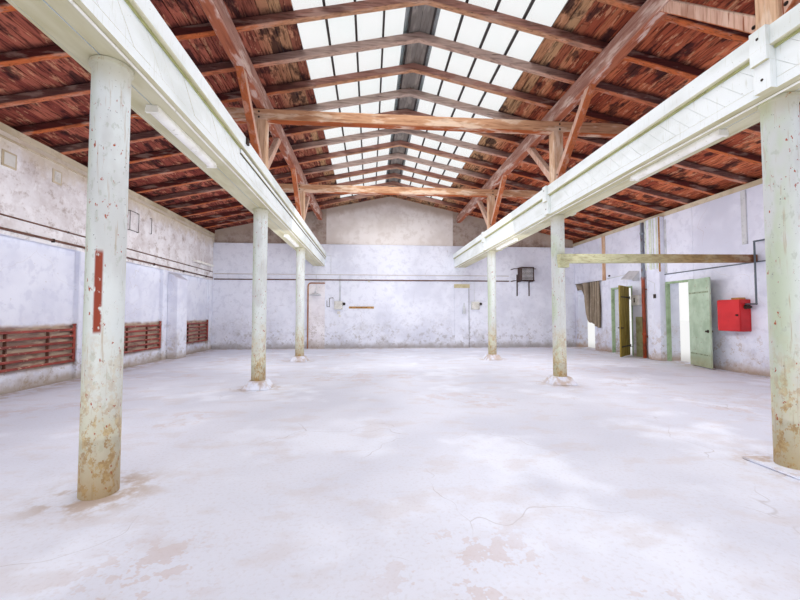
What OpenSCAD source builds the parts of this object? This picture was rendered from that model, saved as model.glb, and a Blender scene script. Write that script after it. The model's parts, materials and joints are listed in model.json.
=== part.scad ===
/* [Plan] */
// Clear width from the ridge line to the left wall
left_width = 7500; // [6400:50:9000]
// Clear width from the ridge line to the right wall
right_width = 8400; // [7400:50:9500]
// Distance from one frame of columns to the next
bay = 4350; // [4000:50:4800]
// Number of bays along the hall
bays = 5; // [5:1:6]
// Rafters in each bay
rafters_per_bay = 5; // [4:1:6]
// Half of the distance between the two column rows
row_half = 3080; // [2800:20:3400]
// Thickness of the outer walls
wall_t = 450; // [350:10:500]
// Thickness of the floor slab
floor_t = 150; // [100:10:200]

/* [Roof] */
// Pitch of both roof slopes in degrees
pitch = 12.4; // [11.5:0.1:13.5]
// Height of the rafter undersides at the ridge, above the floor
ridge_height = 6550; // [6400:10:6800]
// Height of a rafter
rafter_h = 150; // [120:5:180]
// Width of a rafter
rafter_w = 110; // [80:5:140]
// Thickness of the roof boards
board_t = 25; // [18:1:32]
// Thickness of the roof covering
covering_t = 12; // [8:1:18]
// Reach of the eaves beyond the side walls
eaves = 350; // [200:10:500]
// Reach of the roof beyond the gable walls
verge = 150; // [80:10:250]
// Thickness of the barge and eaves boards
edge_board_t = 25; // [18:1:32]
// Depth of the barge and eaves boards below the roof boards
edge_board_h = 190; // [185:5:230]

/* [Skylight] */
// Distance from the ridge line to the edge of the roof boards
skylight_half = 2120; // [1900:20:2400]
// Half width of the closed strip along the ridge
ridge_strip = 190; // [150:10:240]
// Width of a skylight bar
bar_w = 40; // [30:5:60]
// Height of a skylight bar
bar_h = 45; // [40:5:60]
// Skylight bars on each slope
bars = 3; // [2:1:4]
// Thickness of the translucent sheets
sheet_t = 10; // [8:1:16]
// Overlap of the sheets over the roof boards
sheet_lap = 100; // [80:10:160]
// Boarded length at each end of the skylight
skylight_end = 870; // [600:10:1200]
// Reach of the metal ridge cap down each slope
cap_reach = 300; // [270:10:400]
// Thickness of the ridge cap
cap_t = 6; // [4:1:8]

/* [Columns] */
// Diameter of a column
column_d = 270; // [240:5:300]
// Height of the ring at a column's head
cap_ring_h = 45; // [30:5:70]
// Reach of the ring at a column's head
cap_ring_reach = 18; // [10:2:30]
// Size of a plinth at the floor
plinth_base = 520; // [440:10:620]
// Size of a plinth at its top
plinth_top = 330; // [300:10:400]
// Height of a plinth
plinth_h = 160; // [100:10:220]
// Height of the low footing under the near columns
footing_h = 25; // [15:5:40]

/* [Girders] */
// Height of the girder underside above the floor
soffit_height = 3537; // [3400:1:3700]
// Width of a girder underside
girder_w = 500; // [440:10:560]
// Thickness of the soffit planks
soffit_t = 50; // [40:5:70]
// Gap between the two soffit planks
soffit_slit = 12; // [6:1:20]
// Height of the side planks of the bottom chord
side_plank_h = 165; // [140:5:200]
// Thickness of the side planks and web boards
plank_t = 45; // [35:5:60]
// Height of the web boards above the side planks
web_h = 230; // [200:5:260]
// Height of the top chord
chord_h = 195; // [160:5:230]
// Reach of the top chord beyond the web on each side
chord_reach = 55; // [40:5:80]
// Width of the stiffeners on the right girder
stiffener_w = 150; // [120:5:180]
// Reach of a stiffener's head out of the top chord
stiffener_t = 40; // [25:1:50]
// Thickness of a stiffener's foot
stiffener_foot_t = 60; // [40:2:70]
// Reach of a stiffener's head below the top chord
stiffener_drop = 130; // [60:5:150]
// Distance from a column's middle to the middle of its stiffeners
stiffener_off = 120; // [60:5:140]

/* [Roof frames] */
// Side of a square post
post_w = 220; // [180:10:240]
// Height of the tie beam undersides above the floor
tie_height = 5330; // [5250:10:5400]
// Height of a tie beam
tie_h = 235; // [200:5:260]
// Width of a tie beam
tie_w = 180; // [150:10:220]
// Width of a purlin
purlin_w = 200; // [160:10:240]
// Width of a brace
brace_w = 130; // [90:5:150]
// Height of the brace feet above the girders
brace_foot = 135; // [100:5:180]
// Height of a brace along the post
brace_h = 200; // [160:10:240]
// Distance from the post to the lower edge of a brace at the purlin
brace_run = 1260; // [1100:20:1400]

/* [Walls] */
// Height of the ledge on the gable walls above the floor
ledge_height = 4500; // [4350:10:4550]
// Set-back of the gables above the ledge
gable_setback = 120; // [80:10:160]
// Width of the timber wall plates
plate_w = 140; // [120:5:180]
// Height of the timber wall plates
plate_h = 110; // [90:5:140]
// Distance from one wall recess to the next
recess_pitch = 3480; // [3300:20:3600]
// Length of a wall recess
recess_len = 2300; // [2100:20:2400]
// Height of the wall recesses above the floor
recess_height = 2890; // [2700:10:3000]
// Depth of the wall recesses
recess_depth = 110; // [80:10:150]
// Distance from the back wall to the first recess
recess_start = 280; // [200:10:400]
// Number of wall recesses
recesses = 6; // [4:1:6]
// Width of a pilaster on the left wall
pilaster_w = 660; // [560:10:760]
// Reach of a left pilaster into the hall
pilaster_reach = 320; // [240:10:400]
// Height of a left pilaster above the floor
pilaster_height = 2640; // [2500:10:2750]
// Width of the tall pilaster on the right wall
tall_pilaster_w = 550; // [450:10:620]
// Reach of the tall pilaster into the hall
tall_pilaster_reach = 200; // [150:10:280]
// Distance from the back wall to the timber post on the right wall
post_at = 2090; // [1950:10:2200]
// Width of the timber post
post_face = 170; // [120:10:200]
// Depth of the timber post
post_d = 60; // [40:5:100]
// Height of the timber post's foot above the floor
post_foot = 2800; // [2750:10:2900]

/* [Doors] */
// Height of the door openings above the floor
door_height = 2470; // [2400:10:2520]
// Distance from the back wall to the open doorway
doorway_1_at = 195; // [150:5:300]
// Width of the open doorway
doorway_1_w = 1250; // [1100:10:1350]
// Distance from the back wall to the second doorway
doorway_2_at = 2550; // [2400:10:2700]
// Width of the second doorway
doorway_2_w = 1170; // [1000:10:1250]
// Distance from the back wall to the third doorway
doorway_3_at = 5230; // [5150:10:5400]
// Width of the third doorway
doorway_3_w = 1040; // [1000:10:1080]
// Width of a door frame member
frame_w = 60; // [50:5:80]
// Depth of a door frame
frame_d = 110; // [90:5:140]
// Reach of a door frame out of the wall
frame_proud = 12; // [5:1:20]
// Thickness of a door leaf
leaf_t = 42; // [36:1:50]
// Lap of a leaf over its frame
leaf_lap = 25; // [15:5:35]
// Gap between a leaf and the floor
leaf_floor_gap = 30; // [20:5:50]
// Gap between a closed leaf and its frame
leaf_frame_gap = 6; // [5:1:10]
// Opening angle of the second door's leaf as it stands
door_2_angle = 130; // [90:1:150]
// Opening angle of the third door's leaf as it stands
door_3_angle = 164; // [90:1:170]
// Diameter of a hinge pin
hinge_pin_d = 16; // [12:1:20]
// Wall of a hinge knuckle
knuckle_wall = 6; // [5:1:8]
// Length of a hinge knuckle
knuckle_len = 90; // [70:5:110]
// Height of the lower strap above the leaf's foot
strap_low = 330; // [250:10:400]
// Height of the upper strap above the leaf's foot
strap_high = 2020; // [1900:10:2100]
// Height of a hinge strap
strap_h = 45; // [35:1:60]
// Thickness of a hinge strap
strap_t = 8; // [6:1:10]

/* [Fittings] */
// Diameter of a heating register pipe
register_pipe_d = 60; // [48:1:70]
// Distance from one register pipe to the next
register_pitch = 138; // [120:2:150]
// Pipes in a register
register_pipes = 6; // [4:1:6]
// Height of the lowest register pipe above the floor
register_low = 420; // [350:10:500]
// Distance from the recess face to the register pipes
register_off = 75; // [60:5:90]
// Diameter of the heating pipe on the left wall
heating_pipe_d = 48; // [40:1:60]
// Height of the heating pipe above the floor
heating_pipe_height = 2990; // [2950:10:3100]
// Diameter of the downpipe beside the tall pilaster
downpipe_d = 110; // [70:5:120]
// Distance from the tall pilaster to the middle of the downpipe
downpipe_gap = 275; // [200:5:300]
// Diameter of the small wall pipes
conduit_d = 30; // [20:1:40]
// Height of the upper small pipe above the heating pipe
upper_conduit_rise = 250; // [200:10:300]
// Height of the back wall's small pipe above the heating pipe
back_conduit_rise = 180; // [120:10:250]
// Reach of the back wall's pipes beyond the ridge line
back_pipe_reach = 5300; // [4500:50:5400]
// Height of the right wall's small pipe above the floor
right_conduit_height = 2715; // [2690:5:2740]
// Diameter of the hydrant pipe
riser_d = 42; // [34:1:50]
// Distance from the right wall to the hydrant pipe
riser_off = 150; // [100:5:180]
// Distance from the fire hose cabinet to the upright of the hydrant pipe
riser_gap = 265; // [240:5:300]
// Height of the hydrant pipe's inlet above the floor
riser_low = 1700; // [1600:10:1760]
// Height of the level run of the hydrant pipe above the floor
riser_high = 3190; // [3100:10:3300]
// Width of the fire hose cabinet
cabinet_w = 600; // [500:10:700]
// Height of the fire hose cabinet
cabinet_h = 790; // [700:10:850]
// Depth of the fire hose cabinet
cabinet_d = 290; // [200:10:320]
// Height of the fire hose cabinet above the floor
cabinet_height = 1030; // [900:10:1200]
// Distance from the third doorway to the fire hose cabinet
cabinet_off = 1000; // [990:10:1300]
// Width of the air heater
heater_w = 590; // [500:10:680]
// Height of the air heater
heater_h = 610; // [500:10:700]
// Depth of the air heater
heater_d = 360; // [300:10:420]
// Height of the air heater above the floor
heater_height = 2930; // [2800:10:3000]
// Distance from the ridge line to the air heater
heater_at = 5700; // [5500:50:6500]
// Distance from the back wall to the air heater
heater_off = 60; // [45:5:100]
// Side of the air heater's bracket bars
heater_bar = 40; // [30:5:50]
// Reach of the bracket's legs below the air heater
heater_leg_h = 650; // [400:10:700]
// Height of the cross beam underside above the floor at its column
cross_beam_height = 2510; // [2490:5:2600]
// Height of the cross beam
cross_beam_h = 185; // [160:5:220]
// Width of the cross beam
cross_beam_w = 120; // [100:5:140]
// Reach of the cross beam past the middle of its column
cross_beam_past = 120; // [60:5:150]
// Angle of the cross beam to the frames in degrees
cross_beam_skew = 9.5; // [9.2:0.1:10]
// Rise of the cross beam towards the wall in degrees
cross_beam_rise = 2.1; // [1.5:0.1:2.4]
// Width of the cleat under the cross beam
cleat_w = 200; // [160:10:240]
// Height of the cleat under the cross beam
cleat_h = 90; // [70:5:120]
// Width and height of a switch box
box_w = 350; // [300:10:400]
// Depth of a switch box
box_d = 120; // [80:10:140]
// Height of the switch boxes above the floor
box_height = 1670; // [1500:10:1800]
// Distance from the ridge line to the left switch box
left_box_at = 2420; // [2300:10:2500]
// Distance from the ridge line to the right switch box
right_box_at = 3580; // [3560:10:3700]
// Height of the side wall's switch box above the others
side_box_rise = 100; // [50:10:200]
// Distance from the second doorway to its switch box
side_box_off = 100; // [90:5:105]
// Width of the blocked doorway
blocked_w = 650; // [550:10:700]
// Height of the blocked doorway
blocked_h = 2620; // [2400:10:2650]
// Reach of the blocked doorway out of the wall
blocked_t = 25; // [15:5:35]
// Distance from the ridge line to the blocked doorway
blocked_at = 2830; // [2750:10:2900]
// Height of the lintel over the blocked doorway
lintel_h = 180; // [120:10:220]
// Reach of the lintel beyond the blocked doorway
lintel_reach = 30; // [20:5:50]
// Diameter of the curtain rail
rail_d = 25; // [20:1:30]
// Height of the curtain rail above the floor
rail_height = 2800; // [2700:10:2850]
// Distance from the wall to the curtain rail
rail_off = 85; // [75:5:100]
// Width of the gathered curtain
curtain_w = 720; // [600:10:800]
// Length of the curtain
curtain_h = 2060; // [1900:10:2200]
// Depth of the gathered curtain
curtain_d = 110; // [80:5:130]
// Reach of the gathered curtain into the doorway
curtain_into = 180; // [100:10:250]
// Length of a girder lamp
lamp_len = 1450; // [1200:10:1600]
// Distance from a column to the lamp behind it
lamp_off = 575; // [400:25:800]
// Distance from the third column to the far lamp
far_lamp_off = 2275; // [2000:25:2600]
// Width of a girder lamp
lamp_w = 130; // [100:5:160]
// Height of a girder lamp
lamp_h = 75; // [60:5:100]

/* [Hidden] */

// Plan: the hall lies along Y, and the origin is at the middle of its plan on the ground
hall_len = bay * bays;
half_len = hall_len / 2;
outer_len = hall_len + 2 * wall_t;
half_outer = outer_len / 2;
ridge_x = (left_width - right_width) / 2;
left_face = ridge_x - left_width;
right_face = ridge_x + right_width;
frames_y = [for (k = [1 : bays - 1]) -half_len + k * bay];
rafter_gap = bay / rafters_per_bay;
rafters_y = [for (k = [1 : rafters_per_bay * bays - 1]) -half_len + k * rafter_gap];
rows_x = [ridge_x - row_half, ridge_x + row_half];
plain_frame = 1;

// Heights, counted from the ground
floor_z = floor_t;
soffit_z = floor_z + soffit_height;
side_top_z = soffit_z + side_plank_h;
web_top_z = side_top_z + web_h;
girder_top_z = web_top_z + chord_h;
tie_z = floor_z + tie_height;
tie_top_z = tie_z + tie_h;
ledge_z = floor_z + ledge_height;
door_z = floor_z + door_height;
ridge_under_z = floor_z + ridge_height;
slope = tan(pitch);

// Layers of the roof, counted upward from the rafter undersides
touch = 0.3;
seat_gap = 1;
cleat_inset = 10;
board_h = rafter_h + touch;
covering_h = board_h + board_t + touch;
sheet_h = board_h + bar_h + touch;
cap_h = sheet_h + sheet_t + touch;

// Doorways in the right wall, each from its near side to its far side
doorway_1 = [half_len - doorway_1_at - doorway_1_w, half_len - doorway_1_at];
doorway_2 = [half_len - doorway_2_at - doorway_2_w, half_len - doorway_2_at];
doorway_3 = [half_len - doorway_3_at - doorway_3_w, half_len - doorway_3_at];
framed_doorways = [doorway_2, doorway_3];
cabinet_y = doorway_3[0] - cabinet_off - cabinet_w;
hinge_r = hinge_pin_d / 2;
hinge_clear = 0.3;
knuckle_r = hinge_r + hinge_clear + knuckle_wall;
leaf_z = floor_z + leaf_floor_gap;
leaf_h = door_height - frame_w + leaf_lap - leaf_floor_gap;
leaf_back = frame_proud + leaf_frame_gap;
board_off = knuckle_r + 2;
axis_off = leaf_back + leaf_t + board_off;
strap_len_share = 0.62;
band_inset = 12;
fine = 48;

function under(r) = ridge_under_z - slope * r;
function hinge_y(doorway) = doorway[0] + frame_w - leaf_lap;
function leaf_width(doorway) = doorway[1] - doorway[0] - 2 * frame_w + 2 * leaf_lap;

// A flat outline in X and Z, drawn out along Y
module along_y(y0, y1) {
    translate([0, y1, 0]) rotate([90, 0, 0]) linear_extrude(y1 - y0) children();
}

// A flat outline in Y and Z, drawn out along X
module along_x(x0, x1) {
    translate([x0, 0, 0]) rotate([90, 0, 90]) linear_extrude(x1 - x0) children();
}

module box(x0, x1, y0, y1, z0, z1) {
    translate([x0, y0, z0]) cube([x1 - x0, y1 - y0, z1 - z0]);
}

// A layer that follows one roof slope, from r0 to r1 away from the ridge line
module slope_layer(side, r0, r1, h0, h1, y0, y1) {
    along_y(y0, y1) polygon([
        [ridge_x + side * r0, under(r0) + h0], [ridge_x + side * r1, under(r1) + h0],
        [ridge_x + side * r1, under(r1) + h1], [ridge_x + side * r0, under(r0) + h1]
    ]);
}

module floor_slab() {
    color("#cfcac4") {
        box(left_face, right_face, -half_len, half_len, 0, floor_z);
        for (d = [doorway_1, doorway_2, doorway_3])
            box(right_face - seat_gap, right_face + wall_t, d[0], d[1], 0, floor_z);
    }
}

// The section of a side wall, with a rebate for its wall plate
module side_wall_section(side, width, z0) {
    inner = ridge_x + side * width;
    rebate = ridge_x + side * (width + plate_w);
    outer = ridge_x + side * (width + wall_t);
    polygon([
        [inner, z0], [outer, z0], [outer, under(width + wall_t)],
        [rebate, under(width + plate_w)], [rebate, under(width + plate_w) - plate_h],
        [inner, under(width + plate_w) - plate_h]
    ]);
}

function recess_far(k) = half_len - recess_start - k * recess_pitch;

module left_wall() {
    color("#d9d3cf") difference() {
        along_y(-half_outer, half_outer) side_wall_section(-1, left_width, 0);
        for (k = [0 : recesses - 1])
            box(left_face - recess_depth, left_face + seat_gap, recess_far(k) - recess_len,
                recess_far(k), floor_z, floor_z + recess_height);
    }
}

module left_pilasters() {
    slant = pilaster_reach * 0.7;
    margin = (recess_pitch - recess_len - pilaster_w) / 2;
    color("#dedad6") for (k = [1 : recesses - 1]) {
        far = recess_far(k) + margin + pilaster_w;
        along_y(far - pilaster_w, far) polygon([
            [left_face, floor_z], [left_face + pilaster_reach, floor_z],
            [left_face + pilaster_reach, floor_z + pilaster_height],
            [left_face, floor_z + pilaster_height + slant]
        ]);
    }
}

module right_wall_stretch(y0, y1) {
    along_y(y0, y1) side_wall_section(1, right_width, 0);
}

module right_wall() {
    color("#d8d6de") right_wall_stretch(-half_outer, doorway_3[0]);
}

module right_wall_piers() {
    color("#d8d6de") {
        box(right_face, right_face + wall_t, doorway_3[1], doorway_2[0], 0, door_z);
        box(right_face, right_face + wall_t, doorway_2[1], doorway_1[0], 0, door_z);
        box(right_face, right_face + wall_t, doorway_1[1], half_outer, 0, door_z);
    }
}

module right_wall_over_doors() {
    color("#d8d6de") along_y(doorway_3[0], half_outer) side_wall_section(1, right_width, door_z);
}

module right_pilaster() {
    far = doorway_3[1] + tall_pilaster_w;
    top = under(right_width + plate_w) - plate_h;
    color("#e6e2e2")
        box(right_face - tall_pilaster_reach, right_face, doorway_3[1], far, floor_z, top);
}

module right_wall_post() {
    y = half_len - post_at;
    top = under(right_width + plate_w) - plate_h - touch;
    color("#9a6b50") box(right_face - post_d, right_face - touch, y - post_face, y,
        floor_z + post_foot, top);
}

module end_wall(y0, y1) {
    box(left_face, right_face, y0, y1, 0, ledge_z);
}

module gable(y0, y1) {
    along_y(y0, y1) polygon([
        [left_face, ledge_z], [right_face, ledge_z],
        [right_face, under(right_width) + rafter_h], [ridge_x, under(0) + rafter_h],
        [left_face, under(left_width) + rafter_h]
    ]);
}

module back_wall() {
    color("#dcd9dc") end_wall(half_len, half_outer);
}

module front_wall() {
    color("#dcd9dc") end_wall(-half_outer, -half_len);
}

module gables() {
    color("#b9a79a") {
        gable(half_len + gable_setback, half_outer);
        gable(-half_outer, -half_len - gable_setback);
    }
}

module wall_plate(side, width) {
    bottom = under(width + plate_w) - plate_h;
    along_y(-half_outer, half_outer) polygon([
        [ridge_x + side * width, bottom], [ridge_x + side * (width + plate_w), bottom],
        [ridge_x + side * (width + plate_w), under(width + plate_w)],
        [ridge_x + side * width, under(width)]
    ]);
}

module wall_plates() {
    color("#5a3026") {
        wall_plate(-1, left_width);
        wall_plate(1, right_width);
    }
}

function foot_z(k) = floor_z + (k == plain_frame ? 0 : plinth_h);

module columns() {
    color("#cfd3bf") for (x = rows_x, k = [0 : bays - 2]) {
        foot = x == rows_x[1] && k == plain_frame ? floor_z + footing_h : foot_z(k);
        translate([x, frames_y[k], foot]) cylinder(d = column_d, h = soffit_z - foot, $fn = fine);
        translate([x, frames_y[k], soffit_z - cap_ring_h])
            cylinder(d = column_d + 2 * cap_ring_reach, h = cap_ring_h, $fn = fine);
    }
}

// A plinth is the overlap of two tapered slabs
module plinth() {
    b = plinth_base / 2;
    t = plinth_top / 2;
    intersection() {
        along_y(-b, b) polygon([[-b, 0], [b, 0], [t, plinth_h], [-t, plinth_h]]);
        along_x(-b, b) polygon([[-b, 0], [b, 0], [t, plinth_h], [-t, plinth_h]]);
    }
}

module column_plinths() {
    b = plinth_base / 2;
    color("#bdb8b0") {
        for (x = rows_x, k = [0 : bays - 2])
            if (k != plain_frame) translate([x, frames_y[k], floor_z]) plinth();
        translate([rows_x[1], frames_y[plain_frame], 0])
            box(-b, b, -b, b, floor_z, floor_z + footing_h);
    }
}

module girder_bottom_chords() {
    w = girder_w / 2;
    color("#b9b184") for (x = rows_x, side = [-1, 1])
        translate([x, 0, 0]) along_y(-half_len, half_len) polygon([
            [side * soffit_slit / 2, soffit_z], [side * w, soffit_z], [side * w, side_top_z],
            [side * (w - plank_t), side_top_z], [side * (w - plank_t), soffit_z + soffit_t],
            [side * soffit_slit / 2, soffit_z + soffit_t]
        ]);
}

// A stiffener: an upright on the planks whose head steps out over the top chord
module stiffener(side, y) {
    w = girder_w / 2;
    face = w + stiffener_foot_t;
    head = w + chord_reach + stiffener_t;
    along_y(y - stiffener_w / 2, y + stiffener_w / 2) polygon([
        [side * w, soffit_z], [side * face, soffit_z],
        [side * face, web_top_z - stiffener_drop], [side * head, web_top_z - stiffener_drop],
        [side * head, girder_top_z], [side * (w + chord_reach), girder_top_z],
        [side * (w + chord_reach), web_top_z], [side * (w - seat_gap), web_top_z],
        [side * (w - seat_gap), side_top_z], [side * w, side_top_z]
    ]);
}

module girder_webs() {
    w = girder_w / 2;
    color("#e8e9dc") {
        for (x = rows_x, side = [-1, 1]) translate([x, 0, 0])
            along_y(-half_len, half_len) polygon([
                [side * (w - plank_t), side_top_z], [side * w, side_top_z],
                [side * w, web_top_z], [side * (w - plank_t), web_top_z]
            ]);
        for (side = [-1, 1], y = frames_y) translate([rows_x[1], 0, 0])
            stiffener(side, y - stiffener_off);
    }
}

module girder_top_chords() {
    w = girder_w / 2 + chord_reach;
    color("#eceadf") for (x = rows_x)
        box(x - w, x + w, -half_len, half_len, web_top_z, girder_top_z);
}

module girder_posts() {
    color("#b98d74") for (x = rows_x, y = frames_y)
        box(x - post_w / 2, x + post_w / 2, y - post_w / 2, y + post_w / 2, girder_top_z, tie_z);
}

// A tie beam runs on past the posts to the rafters, and its ends follow their undersides
module tie_beams() {
    r_low = (ridge_under_z - touch - tie_z) / slope;
    r_high = (ridge_under_z - touch - tie_top_z) / slope;
    color("#a9745a") for (y = frames_y)
        along_y(y - tie_w / 2, y + tie_w / 2) polygon([
            [ridge_x - r_low, tie_z], [ridge_x + r_low, tie_z],
            [ridge_x + r_high, tie_top_z], [ridge_x - r_high, tie_top_z]
        ]);
}

module purlins() {
    r0 = row_half - purlin_w / 2;
    r1 = row_half + purlin_w / 2;
    end = half_len + gable_setback;
    color("#a5684c") for (side = [-1, 1]) along_y(-end, end) polygon([
        [ridge_x + side * r0, tie_top_z], [ridge_x + side * r1, tie_top_z],
        [ridge_x + side * r1, under(r1) - touch], [ridge_x + side * r0, under(r0) - touch]
    ]);
}

module purlin_braces() {
    foot = girder_top_z + brace_foot;
    p = post_w / 2;
    lean = brace_run * brace_h / (tie_top_z - foot);
    color("#8c3a22") for (x = rows_x, y = frames_y, side = [-1, 1])
        translate([0, y, 0]) along_x(x - brace_w / 2, x + brace_w / 2) polygon([
            [side * p, foot], [side * p, foot + brace_h],
            [side * (p + brace_run - lean), tie_top_z], [side * (p + brace_run), tie_top_z]
        ]);
}

function side_width(side) = side < 0 ? left_width : right_width;
function roof_reach(side) = side_width(side) + wall_t + eaves;

module rafters() {
    color("#8e4a33") for (side = [-1, 1], y = rafters_y)
        slope_layer(side, touch, roof_reach(side), 0, rafter_h, y - rafter_w / 2, y + rafter_w / 2);
}

// A roof layer: one stretch from the skylight's edge down, and two closed ends beside the ridge
module slope_with_ends(split, h0, h1) {
    inner = half_len - skylight_end;
    outer = half_outer + verge;
    for (side = [-1, 1]) {
        slope_layer(side, split, roof_reach(side), h0, h1, -outer, outer);
        slope_layer(side, touch, split - touch, h0, h1, inner, outer);
        slope_layer(side, touch, split - touch, h0, h1, -outer, -inner);
    }
}

module roof_boards() {
    color("#7d3524") slope_with_ends(skylight_half, board_h, board_h + board_t);
}

module roof_covering() {
    edge = skylight_half + bar_w + touch;
    color("#5b5d60") slope_with_ends(edge, covering_h, covering_h + covering_t);
}

function bar_r(k) = ridge_strip + (skylight_half - ridge_strip) * k / (bars + 1);

module skylight_bars() {
    y = half_len - skylight_end - touch;
    bar_top = board_h + bar_h;
    color("#3c3f3c") for (side = [-1, 1]) {
        slope_layer(side, ridge_strip, ridge_strip + bar_w, board_h, bar_top, -y, y);
        for (k = [1 : bars])
            slope_layer(side, bar_r(k) - bar_w / 2, bar_r(k) + bar_w / 2, board_h, bar_top, -y, y);
        slope_layer(side, skylight_half, skylight_half + bar_w, covering_h, bar_top, -y, y);
    }
}

module skylight_sheets() {
    y = half_len - skylight_end;
    color("#dff0ea") for (side = [-1, 1])
        slope_layer(side, ridge_strip, skylight_half + sheet_lap, sheet_h, sheet_h + sheet_t, -y, y);
}

module ridge_boards() {
    y = half_len - skylight_end - touch;
    color("#8b8f92") for (side = [-1, 1])
        slope_layer(side, touch, ridge_strip - touch, board_h, board_h + board_t, -y, y);
}

module ridge_cap() {
    y = half_outer + verge;
    color("#7c8184") along_y(-y, y) polygon([
        [ridge_x - cap_reach, under(cap_reach) + cap_h], [ridge_x, under(0) + cap_h],
        [ridge_x + cap_reach, under(cap_reach) + cap_h],
        [ridge_x + cap_reach, under(cap_reach) + cap_h + cap_t], [ridge_x, under(0) + cap_h + cap_t],
        [ridge_x - cap_reach, under(cap_reach) + cap_h + cap_t]
    ]);
}

// Barge boards along the gables, gutter boards along the eaves, and the boards that close the eaves from below
module roof_edge_boards() {
    y = half_outer + verge;
    inner = y - edge_board_t - touch;
    low = board_h - edge_board_h;
    color("#6d4a38") for (side = [-1, 1]) {
        edge = roof_reach(side);
        slope_layer(side, touch, edge, low, rafter_h, y - edge_board_t, y);
        slope_layer(side, touch, edge, low, rafter_h, -y, -y + edge_board_t);
        slope_layer(side, edge + touch, edge + edge_board_t, low, board_h + board_t, -y, y);
        slope_layer(side, side_width(side) + wall_t, edge, -edge_board_t, -touch, -inner, inner);
    }
}

module door_frames() {
    x0 = right_face - frame_proud;
    color("#7f9a6c") for (d = framed_doorways) {
        box(x0, x0 + frame_d, d[0], d[0] + frame_w, floor_z, door_z);
        box(x0, x0 + frame_d, d[1] - frame_w, d[1], floor_z, door_z);
        box(x0, x0 + frame_d, d[0] + frame_w + touch, d[1] - frame_w - touch, door_z - frame_w, door_z);
    }
}

// A pintle: a plate on the jamb, an arm and an upright pin that carries one knuckle
module pintle(doorway, z) {
    axis_x = right_face - axis_off;
    axis_y = hinge_y(doorway);
    arm_h = 14;
    shoulder = z - knuckle_len / 2 - hinge_clear;
    translate([axis_x, axis_y, shoulder - arm_h])
        cylinder(r = hinge_r, h = arm_h + knuckle_len, $fn = fine);
    box(axis_x - hinge_r, right_face - frame_proud, axis_y - leaf_frame_gap - 3 * hinge_r,
        axis_y - leaf_frame_gap, shoulder - arm_h, shoulder);
    box(axis_x - hinge_r, axis_x + hinge_r, axis_y - 3 * hinge_r, axis_y + hinge_r,
        shoulder - arm_h, shoulder);
}

module door_pintles() {
    color("#4a4038") for (d = framed_doorways, z = [strap_low, strap_high])
        pintle(d, leaf_z + z);
}

// A ledged leaf with its two strap hinges, drawn closed and then swung open
module hung_leaf(doorway, angle) {
    axis_x = right_face - axis_off;
    axis_y = hinge_y(doorway);
    w = leaf_width(doorway);
    translate([axis_x, axis_y, 0]) rotate([0, 0, angle]) {
        box(board_off, board_off + leaf_t, 0, w, leaf_z, leaf_z + leaf_h);
        for (z = [leaf_z + strap_low, leaf_z + strap_high]) {
            box(board_off - strap_t, board_off + seat_gap, hinge_r + hinge_clear + 1, w * strap_len_share,
                z - strap_h / 2, z + strap_h / 2);
            box(board_off + leaf_t - seat_gap, board_off + leaf_t + strap_t, leaf_lap + band_inset,
                w - leaf_lap - band_inset, z - strap_h / 2, z + strap_h / 2);
            difference() {
                translate([0, 0, z - knuckle_len / 2])
                    cylinder(r = knuckle_r, h = knuckle_len, $fn = fine);
                translate([0, 0, z - knuckle_len])
                    cylinder(r = hinge_r + hinge_clear, h = 2 * knuckle_len, $fn = fine);
            }
        }
    }
}

module door_2_leaf() {
    color("#8b8443") hung_leaf(doorway_2, door_2_angle);
}

module door_3_leaf() {
    color("#a9bda6") hung_leaf(doorway_3, door_3_angle);
}

// One heating register: level pipes between two upright headers, held off the wall by stubs
module register(far) {
    x = left_face - recess_depth + register_off;
    near = far - recess_len + register_pipe_d;
    end = far - register_pipe_d;
    low = floor_z + register_low;
    high = low + (register_pipes - 1) * register_pitch;
    r = register_pipe_d / 2;
    for (k = [0 : register_pipes - 1])
        translate([x, near, low + k * register_pitch]) rotate([-90, 0, 0])
            cylinder(r = r * 0.9, h = end - near, $fn = fine);
    for (y = [near, end]) {
        translate([x, y, low - r]) cylinder(r = r, h = high - low + 2 * r, $fn = fine);
        for (z = [low + register_pitch / 2, high - register_pitch / 2])
            translate([left_face - recess_depth, y, z]) rotate([0, 90, 0])
                cylinder(r = r / 2, h = register_off, $fn = fine);
    }
}

module pipe_registers() {
    color("#6e2a24") for (k = [0 : recesses - 1]) register(recess_far(k));
}

module wall_pipe_y(x, z, y0, y1, d) {
    translate([x, y0, z]) rotate([-90, 0, 0]) cylinder(d = d, h = y1 - y0, $fn = fine);
}

module wall_pipe_x(y, z, x0, x1, d) {
    translate([x0, y, z]) rotate([0, 90, 0]) cylinder(d = d, h = x1 - x0, $fn = fine);
}

module wall_pipes() {
    r = heating_pipe_d / 2;
    c = conduit_d / 2;
    heating_z = floor_z + heating_pipe_height;
    upper_z = heating_z + upper_conduit_rise;
    back_pipe_end = ridge_x + back_pipe_reach;
    color("#6b4536") {
        wall_pipe_y(left_face + r, heating_z, -half_len, half_len - 3 * r, heating_pipe_d);
        wall_pipe_y(left_face + c, upper_z, -half_len, half_len - 3 * c, conduit_d);
        wall_pipe_x(half_len - r, heating_z - 2 * r, left_face + 3 * r, back_pipe_end, heating_pipe_d);
        wall_pipe_x(half_len - c, heating_z + back_conduit_rise, left_face + 3 * c, back_pipe_end, conduit_d);
        wall_pipe_y(right_face - c, floor_z + right_conduit_height, -half_len, doorway_3[1], conduit_d);
        hydrant_pipe();
    }
}

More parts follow.
